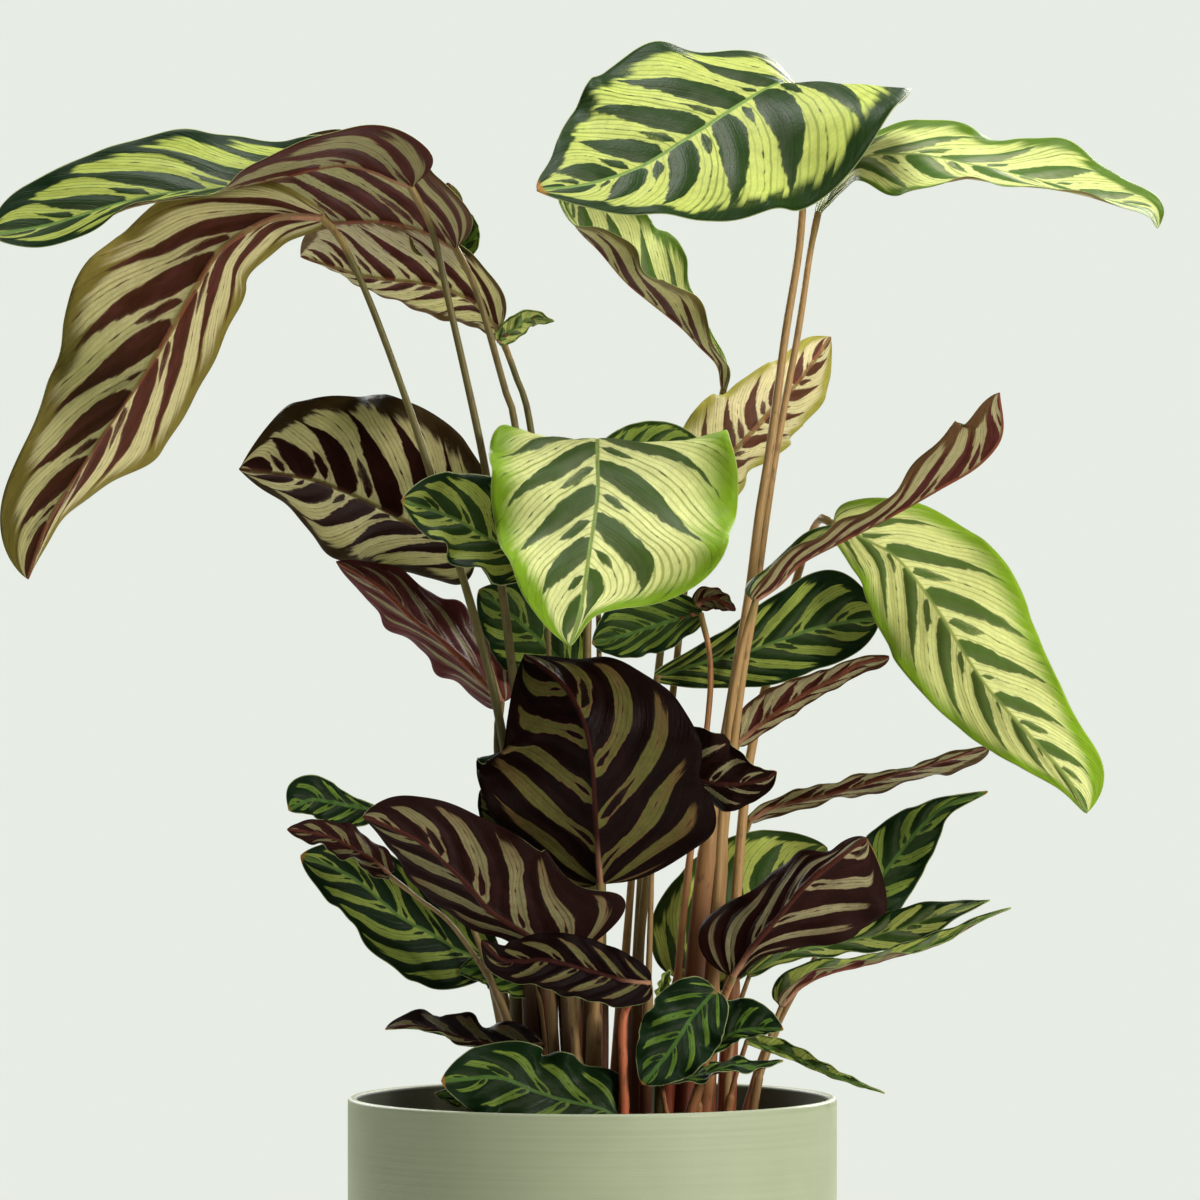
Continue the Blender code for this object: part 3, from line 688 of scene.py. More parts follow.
def under_finish():
    """Leaf underside: maroon blotches and margin, olive to cream bands with thin dark veins."""
    finish, graph = new_finish("leaf_under")
    m = Markings(graph)
    bands = m.bands()
    blotch = m.blotches()
    ground = graph.mix(m.pale, (0.086, 0.086, 0.020), (0.760, 0.680, 0.410))
    # Painted light: on the palest leaves the ground is brightened further, standing in for the backlight
    # shining through them
    ground = graph.mix(graph.ramp(m.pale, 0.85, 1.0), ground, (1.000, 0.860, 0.600))
    line = graph.mix(m.pale, (0.060, 0.026, 0.014), (0.260, 0.130, 0.060))
    ground = graph.mix(m.fine_veins() * 0.80, ground, line)
    ground = graph.mix(m.ladder() * 0.22, ground, line)
    ground = graph.mix(graph.ramp(m.far, 0.50, 0.92) * m.deep * 0.6, ground, (0.110, 0.045, 0.020))
    wine = graph.mix(m.deep, (0.066, 0.018, 0.012), (0.006, 0.002, 0.0014))
    wine = graph.mix(m.painted_sheen_and_wine ** 3.0 * (1.0 - m.deep), wine, (0.105, 0.027, 0.028))
    margin = graph.mix(m.edge, wine, (0.300, 0.270, 0.045))
    body = graph.mix(bands, margin, ground)
    dark = graph.mix(m.deep, (0.072, 0.017, 0.010), (0.0045, 0.0014, 0.0011))
    warm = graph.mix(m.deep, (0.130, 0.034, 0.034), (0.020, 0.006, 0.004))
    mark = graph.mix(graph.ramp(m.cloud(), 0.35, 0.75) * m.painted_sheen_and_wine, dark, warm)
    halo = blotch * (1.0 - blotch) * bands * 4.0
    colour = graph.mix(blotch, body, mark)
    colour = graph.mix(halo * 0.5, colour, (0.200, 0.070, 0.050))
    rib = graph.mix(m.deep, (0.210, 0.062, 0.032), (0.032, 0.008, 0.006))
    rib = graph.mix(graph.ramp(m.along, 0.22, 0.0), rib, (0.340, 0.170, 0.100))
    colour = graph.mix(m.midrib(0.80), colour, rib)
    mottle = m.mottle()
    colour = graph.scale(colour, graph.ramp(mottle, 0.2, 0.8, 0.84, 1.12))
    height = m.fine_veins() * 0.6 + m.ladder() * 0.25 + m.midrib(0.9)
    normal = bump(graph, height, 0.5, 0.0003)
    roughness = 0.50 - blotch * 0.04 + graph.ramp(mottle, 0.3, 0.7, -0.04, 0.04)
    share = 0.005 + bands * (1.0 - blotch) * m.pale * 0.46 + m.edge * 0.12
    leaf_shader(graph, colour, roughness, normal, 0.06, (0.84, 0.76, 0.58), share)
    return finish


def stalk_finish():
    """Leaf stalk: olive to orange tan, redder at the foot, with fine streaks, darkened partly by darker
    skin and partly by painted shade.
    """
    finish, graph = new_finish("stalk_skin")
    place = graph.also(graph.node("ShaderNodeTexCoord", {}, {}), "Object")
    along = graph.attribute("along", "Fac")
    orange, painted_shade, _ = graph.split(graph.attribute("tint"))
    streak = graph.noise(graph.stretch(place, 900.0, 900.0, 60.0), 1.0, 3.0)
    fleck = graph.noise(graph.stretch(place, 420.0, 420.0, 140.0), 1.0, 2.0)
    vivid = orange ** 3.0
    colour = graph.mix(graph.ramp(orange, 0.30, 0.62), (0.120, 0.100, 0.028), (0.330, 0.200, 0.075))
    colour = graph.mix(graph.ramp(orange, 0.65, 1.0), colour, (0.420, 0.115, 0.045))
    foot = graph.mix(vivid, (0.080, 0.030, 0.013), (0.420, 0.075, 0.032))
    colour = graph.mix(graph.ramp(along, 0.42, 0.08), colour, foot)
    colour = graph.mix(graph.ramp(along, 0.945, 0.965), colour, (0.240, 0.160, 0.050))
    colour = graph.mix(graph.ramp(streak, 0.35, 0.75) * 0.45, colour, graph.scale(colour, 1.5))
    colour = graph.mix(graph.ramp(fleck, 0.58, 0.72) * 0.5, colour, (0.075, 0.035, 0.018))
    # Painted shade, with some darker skin: the whole stalk is darkened by its share of shade
    colour = graph.scale(colour, 1.0 - painted_shade * 0.7)
    normal = bump(graph, streak, 0.35, 0.0003)
    roughness = 0.42 + streak * 0.14
    shader = gloss(graph, colour, roughness, normal, IOR=1.45, Specular_IOR_Level=0.30)
    set_output(graph, shader)
    return finish


def pot_finish():
    """Matte sage glaze with faint turning lines, and painted shade on the inside wall and floor."""
    finish, graph = new_finish("pot_sage_glaze")
    place = graph.also(graph.node("ShaderNodeTexCoord", {}, {}), "Object")
    lines = graph.noise(graph.stretch(place, 6.0, 6.0, 900.0), 1.0, 4.0, 0.6)
    grain = graph.noise(place, 900.0, 3.0, 0.6)
    cloud = graph.noise(place, 22.0, 3.0, 0.5)
    colour = graph.mix(graph.ramp(cloud, 0.3, 0.7), (0.272, 0.306, 0.188), (0.300, 0.332, 0.206))
    colour = graph.mix(graph.ramp(lines, 0.25, 0.75) * 0.30, colour, (0.365, 0.395, 0.268))
    colour = graph.mix(graph.ramp(grain, 0.62, 0.72) * 0.25, colour, (0.250, 0.280, 0.170))
    x, y, height = graph.split(place)
    radius = (x * x + y * y) ** 0.5
    # Painted shade: the inside wall and floor are darkened, as the pot's inside lies in shade
    painted_shade_inside = graph.ramp(radius, POT_RADIUS - 0.0026, POT_RADIUS - 0.0034)
    colour = graph.mix(painted_shade_inside * 0.85, colour, (0.060, 0.068, 0.042))
    rim = graph.ramp(height, POT_HEIGHT - 0.0010, POT_HEIGHT - 0.0001)
    colour = graph.mix(rim * 0.25, colour, (0.560, 0.590, 0.430))
    normal = bump(graph, lines * 0.7 + grain * 0.5, 0.25, 0.0004)
    roughness = 0.50 + graph.ramp(lines, 0.3, 0.7, -0.05, 0.05)
    shader = gloss(graph, colour, roughness, normal, IOR=1.45)
    set_output(graph, shader)
    return finish


def mix_finish():
    """Damp potting mix: dark peat with bark flecks."""
    finish, graph = new_finish("damp_potting_mix")
    place = graph.also(graph.node("ShaderNodeTexCoord", {}, {}), "Object")
    fine = graph.noise(place, 700.0, 4.0, 0.65)
    coarse = graph.noise(place, 120.0, 3.0, 0.55)
    colour = graph.mix(graph.ramp(coarse, 0.35, 0.65), (0.018, 0.011, 0.007), (0.070, 0.042, 0.024))
    colour = graph.mix(graph.ramp(fine, 0.60, 0.75) * 0.6, colour, (0.150, 0.090, 0.050))
    normal = bump(graph, fine + coarse, 0.9, 0.0012)
    roughness = 0.85 + graph.ramp(fine, 0.3, 0.7, -0.10, 0.08)
    shader = gloss(graph, colour, roughness, normal, IOR=1.4)
    set_output(graph, shader)
    return finish


def floor_finish():
    """The studio floor: a pale matt sheet with a barely visible grain."""
    finish, graph = new_finish("studio_floor_paper")
    place = graph.also(graph.node("ShaderNodeTexCoord"), "Object")
    grain = graph.noise(place, 40.0)
    tone = graph.mix(grain * 0.5, (0.80, 0.82, 0.78), (0.74, 0.76, 0.72))
    set_output(graph, gloss(graph, tone, 0.8, bump(graph, grain, 0.02, 0.001)))
    return finish


def new_tree(name, inputs):
    """A geometry tree that takes a shape and the named inputs, and gives a shape back."""
    tree = bpy.data.node_groups.new(name, "GeometryNodeTree")
    tree.interface.new_socket("Shape", in_out="INPUT", socket_type="NodeSocketGeometry")
    for label, kind in inputs.items():
        tree.interface.new_socket(label, in_out="INPUT", socket_type=kind)
    tree.interface.new_socket("Shape", in_out="OUTPUT", socket_type="NodeSocketGeometry")
    graph = Graph(tree)
    source = tree.nodes.new("NodeGroupInput")
    given = {socket.name: Value(graph, socket) for socket in source.outputs if socket.name}
    return tree, graph, given


def close_tree(graph, shape, finish):
    """Ends a tree with real geometry that carries its finish."""
    real = graph.node("GeometryNodeRealizeInstances", {}, {"Geometry": shape})
    dressed = graph.node("GeometryNodeSetMaterial", {}, {"Geometry": real, "Material": finish})
    sink = graph.tree.nodes.new("NodeGroupOutput")
    graph.tree.links.new(dressed.socket, sink.inputs[0])


def plain_mesh(name, source):
    """The shape that an object's modifier gives it, as a plain mesh; the object is removed."""
    bpy.context.view_layer.update()
    shape = source.evaluated_get(bpy.context.evaluated_depsgraph_get())
    mesh = bpy.data.meshes.new_from_object(shape)
    mesh.name = name
    bpy.data.objects.remove(source)
    return mesh


def grown(name, data, tree, inputs):
    """Runs a geometry tree on some data and keeps the result as a plain mesh piece."""
    source = new_piece(name + "_source", data, [])
    modifier = source.modifiers.new("Grow", "NODES")
    modifier.node_group = tree
    for item in tree.interface.items_tree:
        if item.in_out == "INPUT" and item.name in inputs:
            modifier[item.identifier] = inputs[item.name]
    return new_piece(name, plain_mesh(name, source), [])


def stalk_tree():
    """A round stalk along a curve: a sheath at the foot, a slow taper and a swollen joint at the top."""
    kinds = {
        "Foot Radius": "NodeSocketFloat",
        "Top Radius": "NodeSocketFloat",
        "Sheath Share": "NodeSocketFloat",
        "Sheath Girth": "NodeSocketFloat",
        "Joint Share": "NodeSocketFloat",
        "Joint Girth": "NodeSocketFloat",
        "Tint": "NodeSocketVector",
        "Finish": "NodeSocketMaterial",
    }
    tree, graph, given = new_tree("grow_stalk", kinds)
    along = graph.node("GeometryNodeSplineParameter")
    radius = given["Foot Radius"] + (given["Top Radius"] - given["Foot Radius"]) * along
    share = given["Sheath Share"]
    sheath = graph.ramp(along, share + 0.03, share - 0.01) * (given["Sheath Girth"] - 1.0)
    joint = graph.ramp(along, 1.0 - given["Joint Share"] * 1.3, 1.0 - given["Joint Share"])
    joint = joint * (given["Joint Girth"] - 1.0)
    seat = graph.joined(along * 14.0, given["Foot Radius"] * 9000.0, 0.0)
    uneven = (graph.noise(seat, 1.0) - 0.5) * 0.22
    radius = radius * (1.0 + sheath + joint + uneven)
    marked = graph.node("GeometryNodeStoreNamedAttribute", {"data_type": "FLOAT", "domain": "POINT"},
                        {"Geometry": given["Shape"], "Name": "along", "Value": along})
    marked = graph.node("GeometryNodeStoreNamedAttribute", {"data_type": "FLOAT_VECTOR", "domain": "POINT"},
                        {"Geometry": marked, "Name": "tint", "Value": given["Tint"]})
    ring = graph.node("GeometryNodeCurvePrimitiveCircle", {"mode": "RADIUS"},
                      {"Resolution": STALK_SIDES, "Radius": 1.0})
    tube = graph.node("GeometryNodeCurveToMesh", {},
                      {"Curve": marked, "Profile Curve": ring, "Scale": radius, "Fill Caps": True})
    close_tree(graph, graph.node("GeometryNodeSetShadeSmooth", {}, {"Geometry": tube}), given["Finish"])
    return tree


def stalk_path(leaf):
    """The stalk's line, in millimetres, from just under the mix to just inside the blade."""
    spine = smooth_path(leaf.spine)
    path = np.array(leaf.stalk, dtype=float)
    path[0, 2] = MIX_TOP / MM
    run = unit(path[1] - path[0])
    sunk = path[0] - run * STALK_SINK
    end = spine[0] + unit(spine[2] - spine[0]) * STALK_REACH
    return smooth_path(np.vstack([sunk, path[1:], end]))


def make_stalk(leaf, tree, finish):
    """One stalk, grown along its path."""
    name = leaf.name + "_on_stalk"
    path = stalk_path(leaf)
    curve = bpy.data.curves.new(name, "CURVE")
    curve.dimensions = "3D"
    spline = curve.splines.new("POLY")
    spline.points.add(STALK_POINTS - 1)
    line = at(path, np.linspace(0, 1, STALK_POINTS)) * MM
    spline.points.foreach_set("co", np.column_stack([line, np.ones(STALK_POINTS)]).ravel())
    length = length_of(path)
    inputs = {
        "Foot Radius": STALK_FOOT_RADIUS * leaf.girth * MM,
        "Top Radius": STALK_TOP_RADIUS * leaf.girth * MM,
        "Sheath Share": min(0.5, leaf.sheath[0] / length),
        "Sheath Girth": leaf.sheath[1],
        "Joint Share": min(0.2, JOINT_LENGTH / length),
        "Joint Girth": JOINT_GIRTH,
        "Tint": (*leaf.tint, 0.0),
        "Finish": finish,
    }
    return grown(name, curve, tree, inputs)


def arc(centre, radius, start, end):
    """Points of a rounded corner, with angles in degrees."""
    angles = [radians(start + (end - start) * i / ROUND_STEPS) for i in range(ROUND_STEPS + 1)]
    return [(centre[0] + radius * cos(a), centre[1] + radius * sin(a)) for a in angles]


def turned(name, profile, steps, finish):
    """A closed solid turned round the upright axis, from a profile of radii and heights."""
    mesh = bpy.data.meshes.new(name)
    mesh.from_pydata([(r, 0, z) for r, z in profile], [(i, i + 1) for i in range(len(profile) - 1)], [])
    source = new_piece(name + "_source", mesh, [])
    screw = source.modifiers.new("Turn", "SCREW")
    screw.steps = steps
    screw.render_steps = steps
    screw.use_merge_vertices = True
    screw.merge_threshold = 0.01 * MM
    solid = plain_mesh(name, source)
    solid.shade_smooth()
    return new_piece(name, solid, [finish])


def make_pot(finish):
    """The glazed pot: a cylinder with a rounded rim and foot, and a thinner wall than floor."""
    inner = POT_RADIUS - POT_WALL
    rim_middle = POT_RADIUS - POT_WALL / 2
    profile = [(rim_middle, POT_HEIGHT)]
    profile += arc((POT_RADIUS - RIM_ROUND, POT_HEIGHT - RIM_ROUND), RIM_ROUND, 90, 0)
    profile += arc((POT_RADIUS - FOOT_ROUND, FOOT_ROUND), FOOT_ROUND, 0, -90)
    profile += [(0.0, 0.0), (0.0, POT_FLOOR)]
    profile += arc((inner - FOOT_ROUND, POT_FLOOR + FOOT_ROUND), FOOT_ROUND, -90, 0)
    profile += arc((inner + RIM_ROUND, POT_HEIGHT - RIM_ROUND), RIM_ROUND, 180, 90)
    profile += [(rim_middle, POT_HEIGHT)]
    return turned("pot_glazed", profile, POT_STEPS, finish)


def crumb_tree():
    """Scatters lumps of peat and bark over the part of a surface that faces up."""
    kinds = {
        "Density": "NodeSocketFloat",
        "Lump Radius": "NodeSocketFloat",
        "Finish": "NodeSocketMaterial",
    }
    tree, graph, given = new_tree("scatter_crumbs", kinds)
    up = graph.also(graph.split(graph.node("GeometryNodeInputNormal"))[0], 2)
    top_only = graph.ramp(up, 0.6, 0.9)
    points = graph.node("GeometryNodeDistributePointsOnFaces", {"distribute_method": "RANDOM"},
                        {"Mesh": given["Shape"], "Density": given["Density"] * top_only, "Seed": 7})
    lump = graph.node("GeometryNodeMeshIcoSphere", {}, {"Radius": given["Lump Radius"], "Subdivisions": 2})
    turn = graph.node("FunctionNodeRandomValue", {"data_type": "FLOAT_VECTOR"},
                      {0: (0.0, 0.0, 0.0), 1: (6.3, 6.3, 6.3), "Seed": 3})
    size = graph.node("FunctionNodeRandomValue", {"data_type": "FLOAT_VECTOR"},
                      {0: (0.4, 0.35, 0.25), 1: (2.2, 1.1, 0.8), "Seed": 5})
    lumps = graph.node("GeometryNodeInstanceOnPoints", {},
                       {"Points": points, "Instance": lump, "Rotation": turn, "Scale": size})
    real = graph.node("GeometryNodeRealizeInstances", {}, {"Geometry": lumps})
    place = graph.node("GeometryNodeInputPosition")
    push = graph.noise(place, 420.0, 2.0, 0.5, output=1)
    push = graph.node("ShaderNodeVectorMath", {"operation": "SUBTRACT"}, {0: push, 1: (0.5, 0.5, 0.5)})
    push = graph.scale(push, given["Lump Radius"] * 1.6)
    rough = graph.node("GeometryNodeSetPosition", {}, {"Geometry": real, "Offset": push})
    both = graph.tree.nodes.new("GeometryNodeJoinGeometry")
    for shape in (rough, given["Shape"]):
        graph.tree.links.new(shape.socket, both.inputs[0])
    close_tree(graph, Value(graph, both.outputs[0]), given["Finish"])
    return tree


def make_mix(finish):
    """The potting mix: a closed plug with an uneven top, covered in crumbs."""
    radius = POT_RADIUS - POT_WALL - MIX_GAP
    bottom = POT_FLOOR + FOOT_ROUND
    profile = [(radius * i / MIX_RINGS, MIX_TOP - MIX_DIP) for i in range(MIX_RINGS + 1)]
    profile += [(radius, bottom), (0.0, bottom)]
    plug = turned("mix_plug", profile, MIX_STEPS, finish)
    mesh = plug.data
    points = np.zeros(len(mesh.vertices) * 3)
    mesh.vertices.foreach_get("co", points)
    x, y, z = points.reshape(-1, 3).T / MM
    waves = np.sin(0.11 * x + 1.0) * np.cos(0.13 * y) + 0.5 * np.sin(0.31 * x - 0.27 * y)
    waves += 0.3 * np.sin(0.71 * y + 0.5 * x)
    z += np.where(z > bottom / MM + 1, MIX_WAVE / MM * waves, 0.0)
    mesh.vertices.foreach_set("co", (np.column_stack([x, y, z]) * MM).ravel())
    bpy.data.objects.remove(plug)
    inputs = {"Density": CRUMBS_PER_SQUARE_METRE, "Lump Radius": CRUMB_RADIUS, "Finish": finish}
    return grown("mix_crumbed", mesh, crumb_tree(), inputs)


# Large leaves: in the frame the blade and the stalk are two nodes
LEAVES = [
    Leaf("leaf_left_long",
         spine=((-70, -14, 528), (-94, -16, 536), (-118, -18, 532), (-141, -20, 527), (-166, -24, 524),
                (-187, -28, 519), (-209, -32, 512), (-231, -36, 508)),
         lobe=0.5, ripple=(4.0, 3.0, 0.0),
         halves=((50, 38, 32, 35, 32, 30), (20, 24, 30, 31, 31, 36, 58)),
         left=(125, 118, 103, 92, 84, 78, 60, 35), right=(-60, -58, -48, -30, -25, -20),
         stalk=((-14, 4, 157), (-22, -6, 260), (-32, -14, 350), (-36, -16, 380), (-42, -12, 422),
                (-55, -10, 481), (-62, -11, 511)),
         sheath=(64.0, 1.9), tint=(0.35, 0.30),
         marks=5.5, phase=0.10, bold=0.36, sweep=1.7, look=(0.42, 0.90, 0.00, 0.40)),
    Leaf("leaf_left_drooping", faces="under",
         spine=((-104, -10, 516), (-122, -11, 516), (-135, -12, 510), (-145, -14, 502), (-152, -16, 491),
                (-159, -18, 479), (-172, -21, 456), (-184, -24, 438), (-195, -26, 421), (-209, -29, 398),
                (-217, -30, 376)),
         ripple=(6.0, 3.0, 0.0),
         halves=((15, 22, 26, 26, 37, 39, 29, 26, 12), (24, 27, 36, 42, 41, 45, 38, 46, 62)),
         left=(-55, -52, -50, -52, -55, -60, -72, -75), right=(-60, -30, -15, -12, -35, -30, -25, -20),
         stalk=((-22, -2, 157), (-26, -6, 240), (-37, -10, 327), (-62, -12, 415), (-82, -12, 473),
                (-96, -11, 505)),
         tint=(0.10, 0.15),
         marks=6.2, phase=0.30, bold=0.36, sweep=2.0, look=(0.90, 0.20, 0.50, 0.60)),
    Leaf("leaf_left_inner", faces="under",
         spine=((-53, 8, 505), (-66, 14, 512.5), (-82, 24, 516.5), (-103, 52, 518), (-119, 80, 521),
                (-132, 104, 525)),
         lobe=0.6, ripple=(3.0, 3.0, 0.0),
         halves=((26,), (50, 42, 33, 30)),
         left=(-82, -80, -78, -78), right=(50, 48, 45, 40),
         stalk=((-6, 12, 157), (-12, 16, 260), (-20, 19, 360), (-30, 16, 435), (-34, 14, 450),
                (-45, 10, 488)),
         sheath=(70.0, 2.1), tint=(0.40, 0.30),
         marks=6, phase=0.60, bold=0.41, sweep=2.0, look=(0.55, 0.12, 0.10, 0.95)),
    Leaf("leaf_left_under", faces="under",
         spine=((-37, 24, 475), (-47, 28, 486), (-63, 34, 492), (-82, 46, 495), (-95, 60, 498),
                (-106, 74, 502), (-117, 90, 506)),
         ripple=(3.0, 3.0, 0.0),
         halves=((18, 20, 15, 10, 5, 3), (20, 26, 30, 28)),
         left=(-55, -55, -60, -60), right=(38, 42, 45, 50),
         stalk=((2, 18, 157), (-4, 26, 260), (-14, 30, 350), (-24, 27, 434), (-30, 25, 456)),
         sheath=(70.0, 2.1), tint=(0.15, 0.25),
         marks=6, phase=0.20, bold=0.22, sweep=1.9, look=(1.00, 0.08, 0.20, 0.90)),
    Leaf("leaf_crown",
         spine=((82, 55, 571), (73, 40, 571.5), (56, 18, 561), (38, -3, 548), (19, -22, 535),
                (-2, -42, 527), (-21, -54, 524)),
         across=(0.72, -0.69, 0), curl=-18, lobe=1.4, ripple=(4.5, 4.0, 0.1),
         halves=((60, 56, 45, 34, 27), (18, 26, 42, 45, 44, 43, 40)),
         left=(2, -22, -48, -46, -42, -40), right=(35, 40, 42, 44, 45, 45),
         stalk=((34, 8, 157), (44, 9, 263), (55, 10, 333), (61, 12, 368), (65, 15, 399), (70, 20, 430),
                (76, 31, 473), (82, 44, 510), (84, 53, 545)),
         sheath=(118.0, 1.7), girth=1.1, tint=(0.62, 0.05),
         marks=5.8, phase=0.40, bold=0.31, sweep=1.05, look=(0.60, 0.85, 0.05, 0.45)),
    Leaf("leaf_upper_right",
         spine=((89, 51, 521), (98, 49, 533), (107, 46, 543), (128, 40, 544), (146, 36, 540),
                (163, 33, 536), (183, 30, 531), (203, 27, 525), (218, 26, 521), (222, 26, 514)),
         ripple=(5.0, 3.0, 0.0),
         halves=((14, 34, 33, 40, 45, 46, 58), (3, 17, 30, 38, 36, 34, 50)),
         left=(-60, -62, -66, -64, -62, -60), right=(55, 50, 58, 74, 86, 84, 72),
         stalk=((42, 15, 157), (50, 18, 263), (58, 20, 333), (64, 22, 370), (68, 25, 400), (73, 29, 431),
                (81, 38, 473), (86, 46, 505)),
         sheath=(112.0, 1.6), tint=(0.62, 0.05),
         marks=5.5, phase=0.15, bold=0.25, sweep=1.1, look=(0.74, 0.15, 0.35, 0.90)),
    Leaf("leaf_upper_middle",
         spine=((53, 94, 453), (51, 93, 463), (43, 90, 471), (36, 87, 478), (24, 84, 488), (13, 83, 497),
                (3, 83, 508), (-5, 84, 516), (-10, 85, 525), (-11, 87, 534)),
         halves=((10, 18, 26, 27, 28), (3, 6, 16, 27, 34, 36, 44)),
         left=(100, 108, 115, 112, 98, 65), right=(-30, -30, -28, -28, -25, -25),
         stalk=((16, 32, 157), (18, 50, 235), (27, 60, 347), (39, 82, 400), (49, 93, 436)),
         girth=0.9, tint=(0.35, 0.20),
         marks=5.5, phase=0.70, sweep=1.8, look=(0.80, 0.25, 0.35, 0.60)),
    Leaf("leaf_pale", faces="under",
         spine=((42, 25, 415), (58, 44, 429), (69, 60, 441), (83, 80, 456), (96, 102, 474)),
         halves=((30, 26, 23, 21, 18, 20, 32), (20, 20, 16, 17, 22, 26, 42)),
         left=(-20,), right=(-45, -42, -40, -40),
         stalk=((18, 24, 157), (19, 30, 235), (28, 37, 300), (35, 38, 360), (39, 33, 395)),
         girth=0.9, tint=(0.40, 0.10),
         marks=6, phase=0.25, bold=0.24, sweep=1.6, look=(1.00, 0.05, 1.00, 0.50)),
    Leaf("leaf_centre",
         spine=((2, 2, 419), (2, -14, 427), (2, -32, 430), (2, -48, 421), (2, -62, 407), (-1, -80, 386),
                (-4, -92, 366), (-8, -99, 351)),
         across=(1, 0, 0),
         halves=((30, 39, 46, 50, 52, 54, 56, 62, 48, 14, 10), (30, 36, 42, 41, 42, 42, 44, 49, 60)),
         left=(0, -1, 1, 3, -5, -20, -10), right=(0, 4, 6, 0, 5, 10),
         stalk=((0, -6, 157), (0, -8, 260), (-2, -7, 350), (1, -1, 395)),
         sheath=(95.0, 1.7), girth=1.1,
         marks=5.3, phase=0.30, bold=0.24, sweep=1.05, look=(0.96, 0.48, 1.00, 0.40)),
    Leaf("leaf_behind_centre",
         spine=((43, 20, 363), (28, 18, 359), (12, 16, 354), (0, 15, 351)),
         ripple=(4.0, 3.0, 0.0),
         halves=((8, 11, 13, 16), (8, 14, 18, 18)),
         left=(-30, -30, -35, -40), right=(-12, -15, -15, -15),
         stalk=((28, 2, 157), (36, 6, 250), (45, 14, 320), (46, 17, 345)),
         girth=0.8, tint=(0.80, 0.10),
         marks=4.5, phase=0.45, bold=0.42, sweep=1.8, look=(0.15, 0.75, 0.00, 0.20)),
    Leaf("leaf_left_dark", faces="under",
         spine=((-46, 4, 388), (-69, 8, 397), (-85, 14, 405), (-98, 22, 411), (-113, 34, 416),
                (-140, 55, 420)),
         ripple=(5.0, 3.0, 0.0),
         halves=((40, 28, 29, 37, 36, 25, 20), (40, 42, 42, 42, 44, 54, 96)),
         left=(-42, -42, -40, -40), right=(-5, -5, -10, -15),
         stalk=((-16, 12, 157), (-18, 14, 260), (-26, 13, 330), (-32, 10, 358), (-39, 7, 376)),
         tint=(0.30, 0.30),
         marks=5.2, phase=0.35, bold=0.34, sweep=1.25, look=(0.88, 0.80, 0.05, 0.25)),
    Leaf("leaf_burgundy", faces="under",
         spine=((-35, -4, 328), (-45, -5, 339), (-56, -4, 350), (-70, 0, 361), (-83, 6, 373),
                (-100, 15, 383)),
         ripple=(6.0, 3.0, 0.0),
         halves=((24, 24, 20, 22, 25, 22), (26, 26, 25, 22, 22, 22)),
         left=(-66, -65, -64, -60), right=(-52, -54, -50, -40),
         stalk=((-28, 4, 157), (-30, 1, 230), (-35, -3, 290), (-37, -4, 312)),
         tint=(0.30, 0.35),
         marks=4.4, phase=0.75, bold=0.47, sweep=2.2, look=(0.30, 0.10, 0.00, 1.00)),
    Leaf("leaf_centre_dark", faces="under",
         spine=((3, -32, 259), (2, -44, 275), (1, -54, 290), (0, -60, 306), (-3, -61, 321), (-9, -56, 333),
                (-17, -48, 341), (-26, -36, 347)),
         lobe=0.35, ripple=(5.0, 3.0, 0.0),
         halves=((42, 38, 41, 47, 50, 50, 42), (50, 56, 44, 43, 41, 34, 38)),
         left=(-15, -15, -20, -25), right=(-10, -12, -18, -25),
         stalk=((0, -26, 157), (1, -28, 210), (3, -30, 245)),
         sheath=(60.0, 1.5), girth=1.1, tint=(0.70, 0.20),
         marks=5, phase=0.20, bold=0.43, sweep=1.15, look=(0.00, 1.00, 0.00, 0.30)),
    Leaf("leaf_low_left_dark", faces="under",
         spine=((-10, -48, 230), (-24, -53, 240), (-38, -56, 249), (-46, -58, 258), (-55, -60, 267),
                (-67, -62, 277), (-87, -66, 286)),
         lobe=0.45, ripple=(4.0, 3.0, 0.0),
         halves=((10, 10, 12, 21, 22, 20, 8), (75, 32, 31, 27, 25, 26, 36)),
         left=(-50, -48, -45, -40), right=(0, 0, -5, -10),
         stalk=((-6, -44, 157), (-6, -45, 190), (-8, -47, 216)),
         tint=(0.60, 0.35),
         marks=4.5, phase=0.55, bold=0.44, sweep=1.5, look=(0.16, 0.90, 0.00, 0.40)),
    Leaf("leaf_low_left_green",
         spine=((-38, 2, 227), (-50, 0, 231), (-62, -2, 238), (-75, -4, 245), (-85, -5, 254),
                (-96, -6, 262), (-113, -8, 269)),
         ripple=(4.0, 3.0, 0.0),
         halves=((10, 20, 24, 20, 20, 24, 26), (22,)),
         left=(35, 38, 40, 35), right=(-40, -35, -30, -25),
         stalk=((-26, 12, 157), (-29, 10, 185), (-34, 5, 214)),
         girth=0.9, tint=(0.50, 0.40),
         marks=5, phase=0.30, bold=0.40, sweep=1.8, look=(0.26, 1.00, 0.00, 0.20)),
    Leaf("leaf_low_front", faces="under",
         spine=((22, -57, 222), (12, -60, 223), (-1, -63, 227), (-17, -66, 231), (-27, -67, 231),
                (-35, -68, 232), (-42, -69, 239)),
         ripple=(3.0, 3.0, 0.0),
         halves=((13,), (12,)),
         left=(40, 40, 35, 30), right=(-20, -20, -22, -30),
         stalk=((12, -57, 157), (12, -57, 185), (12, -56, 209), (18, -55, 219)),
         sheath=(12.0, 1.0), tint=(1.00, 0.00),
         marks=5.5, phase=0.65, bold=0.48, sweep=1.4, look=(0.06, 1.00, 0.00, 0.20)),
    Leaf("leaf_right_rising",
         spine=((63, -3, 368), (72, -4, 374), (81, -6, 383), (96, -8, 391), (115, -12, 400),
